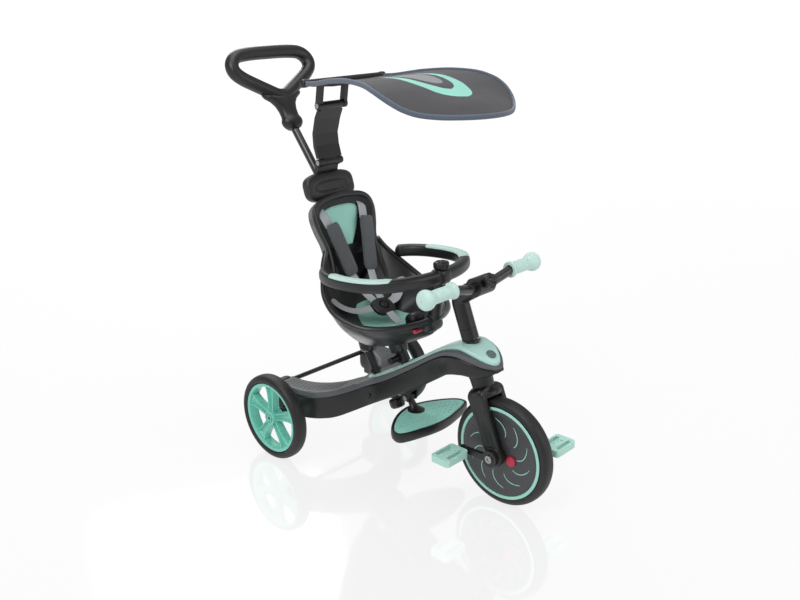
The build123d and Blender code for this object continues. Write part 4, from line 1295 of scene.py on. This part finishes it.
@dataclass
class Canopy(Assembly):
    """The stretched cloth with a bound edge and printed drops, the bar and its caps."""

    mint: str = "#7fbcad"
    grey: str = "#77787c"
    binding: str = "#4c5565"

    def build(self) -> None:
        """Make the cloth, its binding and the bar."""
        edge = smooth_path(CANOPY_EDGE, 6)
        rows, across = [], 56
        for e in edge:
            mid = CANOPY_MID(e.x)
            row = []
            for k in range(across + 1):
                t = -1 + 2 * k / across
                sag = mid + (e.z - mid) * abs(t) ** 2.1
                pull = 0.8 * noise.noise(Vector((e.x / 60, t * 3, 1.7))) * (1 - t * t)
                row.append(Vector((e.x, e.y * t, sag + pull)))
            rows.append(row)
        sculpt = Sculpt()
        sculpt.skin(rows[:-1], closed=False)
        base = len(sculpt.verts) - (across + 1)
        sculpt.verts.append(rows[-1][across // 2])
        sculpt.faces.extend([[base + k, base + k + 1, len(sculpt.verts) - 1] for k in range(across)])
        cloth = show(
            sculpt, "canopy sheet", "canopy", "canopy_fabric", ["canopy_cloth"], material=self.material()
        )
        self.mark(cloth)
        thick = cloth.modifiers.new("thickness", "SOLIDIFY")
        thick.thickness = 0.0012
        thick.offset = 0.0
        hem = Sculpt()
        ring = [Vector((p.x, -p.y, p.z)) for p in edge] + [Vector(p) for p in reversed(edge[:-1])]
        hem.sweep(ring, pillow(5.4, 3.4, 2.4, 14), Vector((0, 0, 1)))
        finish = Finish("canopy_fabric", self.binding, 0.75, Grain.WEAVE, 0.9, 0.15, 0.08, sheen=0.2)
        bound = make_material(finish)
        bound.name = "canopy_binding"
        hem_piece = show(hem, "canopy binding", "canopy", "canopy_fabric", material=bound)
        area = sum(
            (edge[i + 1].x - edge[i].x) * (edge[i + 1].y + edge[i].y) for i in range(len(edge) - 1)
        ) / 1e6
        bar = Sculpt()
        caps = [
            (0.2, -131), (6, -130.6), (8.8, -128.5), (9.2, -124), (9.2, -117), (8, -116), (8, 116),
            (9.2, 117), (9.2, 124), (8.8, 128.5), (6, 130.6), (0.2, 131)
        ]
        bar.lathe(caps, 48, 906, 32, closed=False)
        show(bar, "canopy bar piece", "canopy", "black_plastic", ["canopy_bar"])

    def mark(self, cloth: bpy.types.Object) -> None:
        """Store how far each point is inside the printed drops, in millimetres."""
        outer = self.drop(108, 414, 100)
        inner = self.drop(128, 370, 68)
        core = self.drop(165, 342, 46)
        for name, shape in (("mint_out", outer), ("mint_in", inner), ("grey", core)):
            values = []
            for v in cloth.data.vertices:
                x, y = (v.co.x - AXLE_X) * 1000, abs(v.co.y * 1000)
                inside = shape(x) - y
                values.append(inside)
            layer = cloth.data.attributes.new(name, "FLOAT", "POINT")
            layer.data.foreach_set("value", values)

    def drop(self, tail: float, nose: float, half: float) -> Callable[[float], float]:
        """Half width of a plain drop shape along X, negative outside it."""

        def width(x: float) -> float:
            t = (x - tail) / (nose - tail)
            if not 0 < t < 1:
                return -40 * max(-t, t - 1) - 0.5
            return half * 1.62 * t**0.85 * (1 - t) ** 0.5

        return width

    def material(self) -> bpy.types.Material:
        """The printed cloth."""

        def colour(shader: Shader) -> bpy.types.NodeSocket:
            step = {}
            for name in ("mint_out", "mint_in", "grey"):
                value = shader.add("ShaderNodeAttribute", attribute_name=name).outputs["Fac"]
                node = shader.add("ShaderNodeMapRange", {"Value": value, "From Min": -0.4, "From Max": 0.4})
                step[name] = node.outputs[0]
            field = linear(FINISHES["canopy_fabric"].colour)
            ring = shader.mix(step["mint_out"], field, linear(self.mint))
            hole = shader.mix(step["mint_in"], ring, field)
            return shader.mix(step["grey"], hole, linear(self.grey))

        return make_material(FINISHES["canopy_fabric"], colour)


# ------------------------------------------------------------------ foot platform
@dataclass
class Platform(Assembly):
    """The wing-shaped foot platform with its studded tread."""

    top: float = 139.0
    low: float = 114.0

    def outline(self, inset: float) -> list[tuple[float, float]]:
        """The outline seen from above, moved in by inset."""
        half = [
            (244, 0), (246, 20), (254, 46), (268, 74), (286, 100), (304, 118), (322, 124), (336, 118),
            (346, 96), (354, 66), (361, 34), (364, 0)
        ]
        loop = half + [(x, -y) for x, y in reversed(half[1:-1])]
        path = smooth_path(loop, 6, closed=True)
        made = []
        for i, p in enumerate(path):
            along = (path[(i + 1) % len(path)] - path[i - 1]).normalized()
            made.append((p.x + along.y * inset, p.y - along.x * inset))
        return made

    def build(self) -> None:
        """Make the tray and the tread."""
        tray = Sculpt()
        levels = [
            (9, self.low), (4, self.low + 1), (1, self.low + 5), (0, self.low + 11), (0, self.top - 5),
            (1.2, self.top - 1.2), (3, self.top), (6, self.top), (7.5, self.top - 1.2), (7.8, self.top - 5)
        ]
        tray.skin([[Vector((x, y, z)) for x, y in self.outline(inset)] for inset, z in levels])
        show(tray, "platform rim", "foot_platform", "black_plastic", ["platform_tray"])
        tread = Sculpt()
        levels = [(8, self.top - 5), (8, self.top - 1.6), (8.8, self.top - 0.8), (10, self.top - 0.6)]
        tread.skin([[Vector((x, y, z)) for x, y in self.outline(inset)] for inset, z in levels])
        for i in range(-9, 10):
            for j in range(-3, 4):
                x, y = 306 + 11 * j + (5.5 if i % 2 else 0), 11 * i
                if self.inside(x, y, 18) and (x - 274) ** 2 + y * y > 29**2:
                    rings = [
                        [Vector((x + a * r, y + b * r, self.top + h)) for a, b in circle(1.0, 10)] for r,
                        h in ((2.1, -0.8), (1.9, 0.5), (1.1, 0.9))
                    ]
                    tread.skin(rings)
        show(tread, "platform tread plate", "foot_platform", "mint_tread", ["platform_tread"])
        post = Sculpt()
        rings = []
        for x, z, a, b in (
            (274, 133.6, 22, 22), (273.5, 139.5, 21, 21), (271, 142, 15, 16), (266, 147, 10.5, 11),
            (260, 154, 9, 9.4), (256, 161, 8.8, 8.6), (253, 168, 8.6, 8.4)
        ):
            rings.append([Vector((x + a * p, b * q, z)) for p, q in circle(1.0, 36)])
        post.skin(rings)
        eye = [(4.2, -8.4), (9, -8.4), (9, 8.4), (4.2, 8.4)]
        post.lathe(eye, 253, 168, 36)
        show(post, "platform post piece", "foot_platform", "black_plastic", ["platform_post"])

    def inside(self, x: float, y: float, margin: float) -> bool:
        """Whether a point lies inside the outline by at least a margin."""
        edge = self.outline(0)
        return all(
            (x - a) ** 2 + (y - b) ** 2 > margin**2 for a, b in edge
        ) and 244 < x < 364 and abs(y) < 124 and self.wing(x, y)

    def wing(self, x: float, y: float) -> bool:
        """Even-odd test against the outline."""
        edge, hit = self.outline(0), False
        for (x0, y0), (x1, y1) in zip(edge, edge[1:] + edge[:1]):
            if (y0 > y) != (y1 > y) and x < x0 + (y - y0) / (y1 - y0) * (x1 - x0):
                hit = not hit
        return hit


# ------------------------------------------------------------------ carried-over CAD nodes
CARRIED = {
    "cross_rod": ("steel_black", 0.6), "head_bushes": (
        "black_plastic", 0.4
    ), "front_axle": ("steel_plain", 0.4), "pedal_release_button": ("red_button", 1.2),
    "steerer_tube": ("steel_black", 0.5), "stem_collar": (
        "black_plastic", 1.2
    ), "stem": ("black_plastic", 1.5), "handlebar": ("steel_black", 0.4),
    "rear_axles": (
        "steel_plain", 0.6
    ), "axle_bushes": ("bush_white", 0.4), "crank_bolts": (
        "steel_plain", 0.5
    ), "pedal_spindles": ("steel_plain", 0.4),
    "cranks": (
        "black_plastic", 1.6
    ), "pedal_right": ("mint_pedal", 1.1), "pedal_left": ("mint_pedal", 1.1), "seat_posts": (
        "black_plastic", 0.6
    ),
    "post_feet": (
        "black_plastic", 1.0
    ), "post_clamp_handle": (
        "black_plastic", 1.4
    ), "push_shaft": ("steel_black", 0.4), "canopy_bracket": ("black_plastic", 1.2),
    "canopy_arm": (
        "black_plastic", 1.4
    ), "canopy_hinge_pins": ("steel_plain", 0.6), "canopy_carrier": ("black_plastic", 1.2),
    "platform_clevis": ("black_plastic", 1.0), "platform_pin": ("steel_plain", 0.6),
}


@dataclass
class CarriedParts(Assembly):
    """The CAD nodes that stay in view, each with its finish and softened edges."""

    def build(self) -> None:
        """Give every carried-over node its material and bevel."""
        for node, (slot, bevel_mm) in CARRIED.items():
            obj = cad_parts[node]
            obj.data.materials.clear()
            obj.data.materials.append(MATERIALS[slot])
            add_bevel(obj, bevel_mm)


# ------------------------------------------------------------------ studio
@dataclass
class Studio(Assembly):
    """A pale floor, soft lights and the camera."""

    azimuth: float = 43.66
    elevation: float = 19.52
    roll: float = -0.31
    lens: float = 40.8
    distance: float = 2142.7
    target: Point = (221.4, 0.0, 408.0)

    def build(self) -> None:
        """Make the floor, the lights, the world and the camera."""
        self.floor()
        self.world()
        self.light("key", (700, -2100, 2600), 1.6, 46)
        self.light("fill", (2700, 900, 1500), 1.5, 16)
        self.light("top", (200, 100, 3000), 2.0, 34)
        self.light("rim", (-1900, 900, 2200), 1.3, 24)
        self.camera()
        bpy.context.scene.view_settings.view_transform = "Standard"

    def floor(self) -> None:
        """A pale floor that reaches far beyond the view."""
        mesh = bpy.data.meshes.new("floor")
        size = 60.0
        mesh.from_pydata(
            [(-size, -size, 0), (size, -size, 0), (size, size, 0), (-size, size, 0)], [], [(0, 1, 2, 3)]
        )
        floor = bpy.data.objects.new("floor", mesh)
        bpy.context.scene.collection.objects.link(floor)
        shader = Shader("floor_white")
        settings = {
            "Base Color": (0.1, 0.1, 0.1, 1), "Roughness": 0.07, "IOR": 2.2, "Emission Color": (1, 1, 1, 1),
            "Emission Strength": 0.8
        }
        for socket, value in settings.items():
            shader.principled.inputs[socket].default_value = value
        mesh.materials.append(shader.material)

    def world(self) -> None:
        """Even white surroundings."""
        world = bpy.data.worlds.new("studio")
        bpy.context.scene.world = world
        world.use_nodes = True
        background = next(n for n in world.node_tree.nodes if n.type == "BACKGROUND")
        background.inputs[0].default_value = (1, 1, 1, 1)
        background.inputs[1].default_value = 0.42

    def light(self, name: str, where: Point, size: float, watts: float) -> None:
        """A soft square light that faces the tricycle."""
        data = bpy.data.lights.new(name, "AREA")
        data.energy, data.size = watts, size
        light = bpy.data.objects.new(name, data)
        light.location = place(where)
        aim = place(self.target) - light.location
        light.rotation_mode = "QUATERNION"
        light.rotation_quaternion = aim.to_track_quat("-Z", "Y")
        bpy.context.scene.collection.objects.link(light)

    def camera(self) -> None:
        """The camera at the given angle."""
        a, e, r = (math.radians(v) for v in (self.azimuth, self.elevation, self.roll))
        back = Vector((math.sin(a) * math.cos(e), -math.cos(a) * math.cos(e), math.sin(e)))
        right = Vector((math.cos(a), math.sin(a), 0))
        up = back.cross(right)
        turned = right * math.cos(r) + up * math.sin(r)
        upright = back.cross(turned)
        data = bpy.data.cameras.new("camera")
        data.lens, data.sensor_width = self.lens, 36
        camera = bpy.data.objects.new("camera", data)
        matrix = Matrix((turned, upright, back)).transposed().to_4x4()
        matrix.translation = place(self.target) + back * (self.distance / 1000)
        camera.matrix_world = matrix
        bpy.context.scene.collection.objects.link(camera)
        bpy.context.scene.camera = camera


ASSEMBLIES: tuple[type[Assembly], ...] = (
    CarriedParts, RearWheels, FrontWheel, Chassis, Fork, Grips, Knobs, SeatShell,
    Headrest, Harness, SafetyRing, PushHandle, Canopy, Platform, Studio,
)


def main() -> None:
    """Build every sub-assembly."""
    for kind in ASSEMBLIES:
        kind().build()
        LOG.info("%s is built", kind.__name__)


if __name__ == "__main__":
    main()
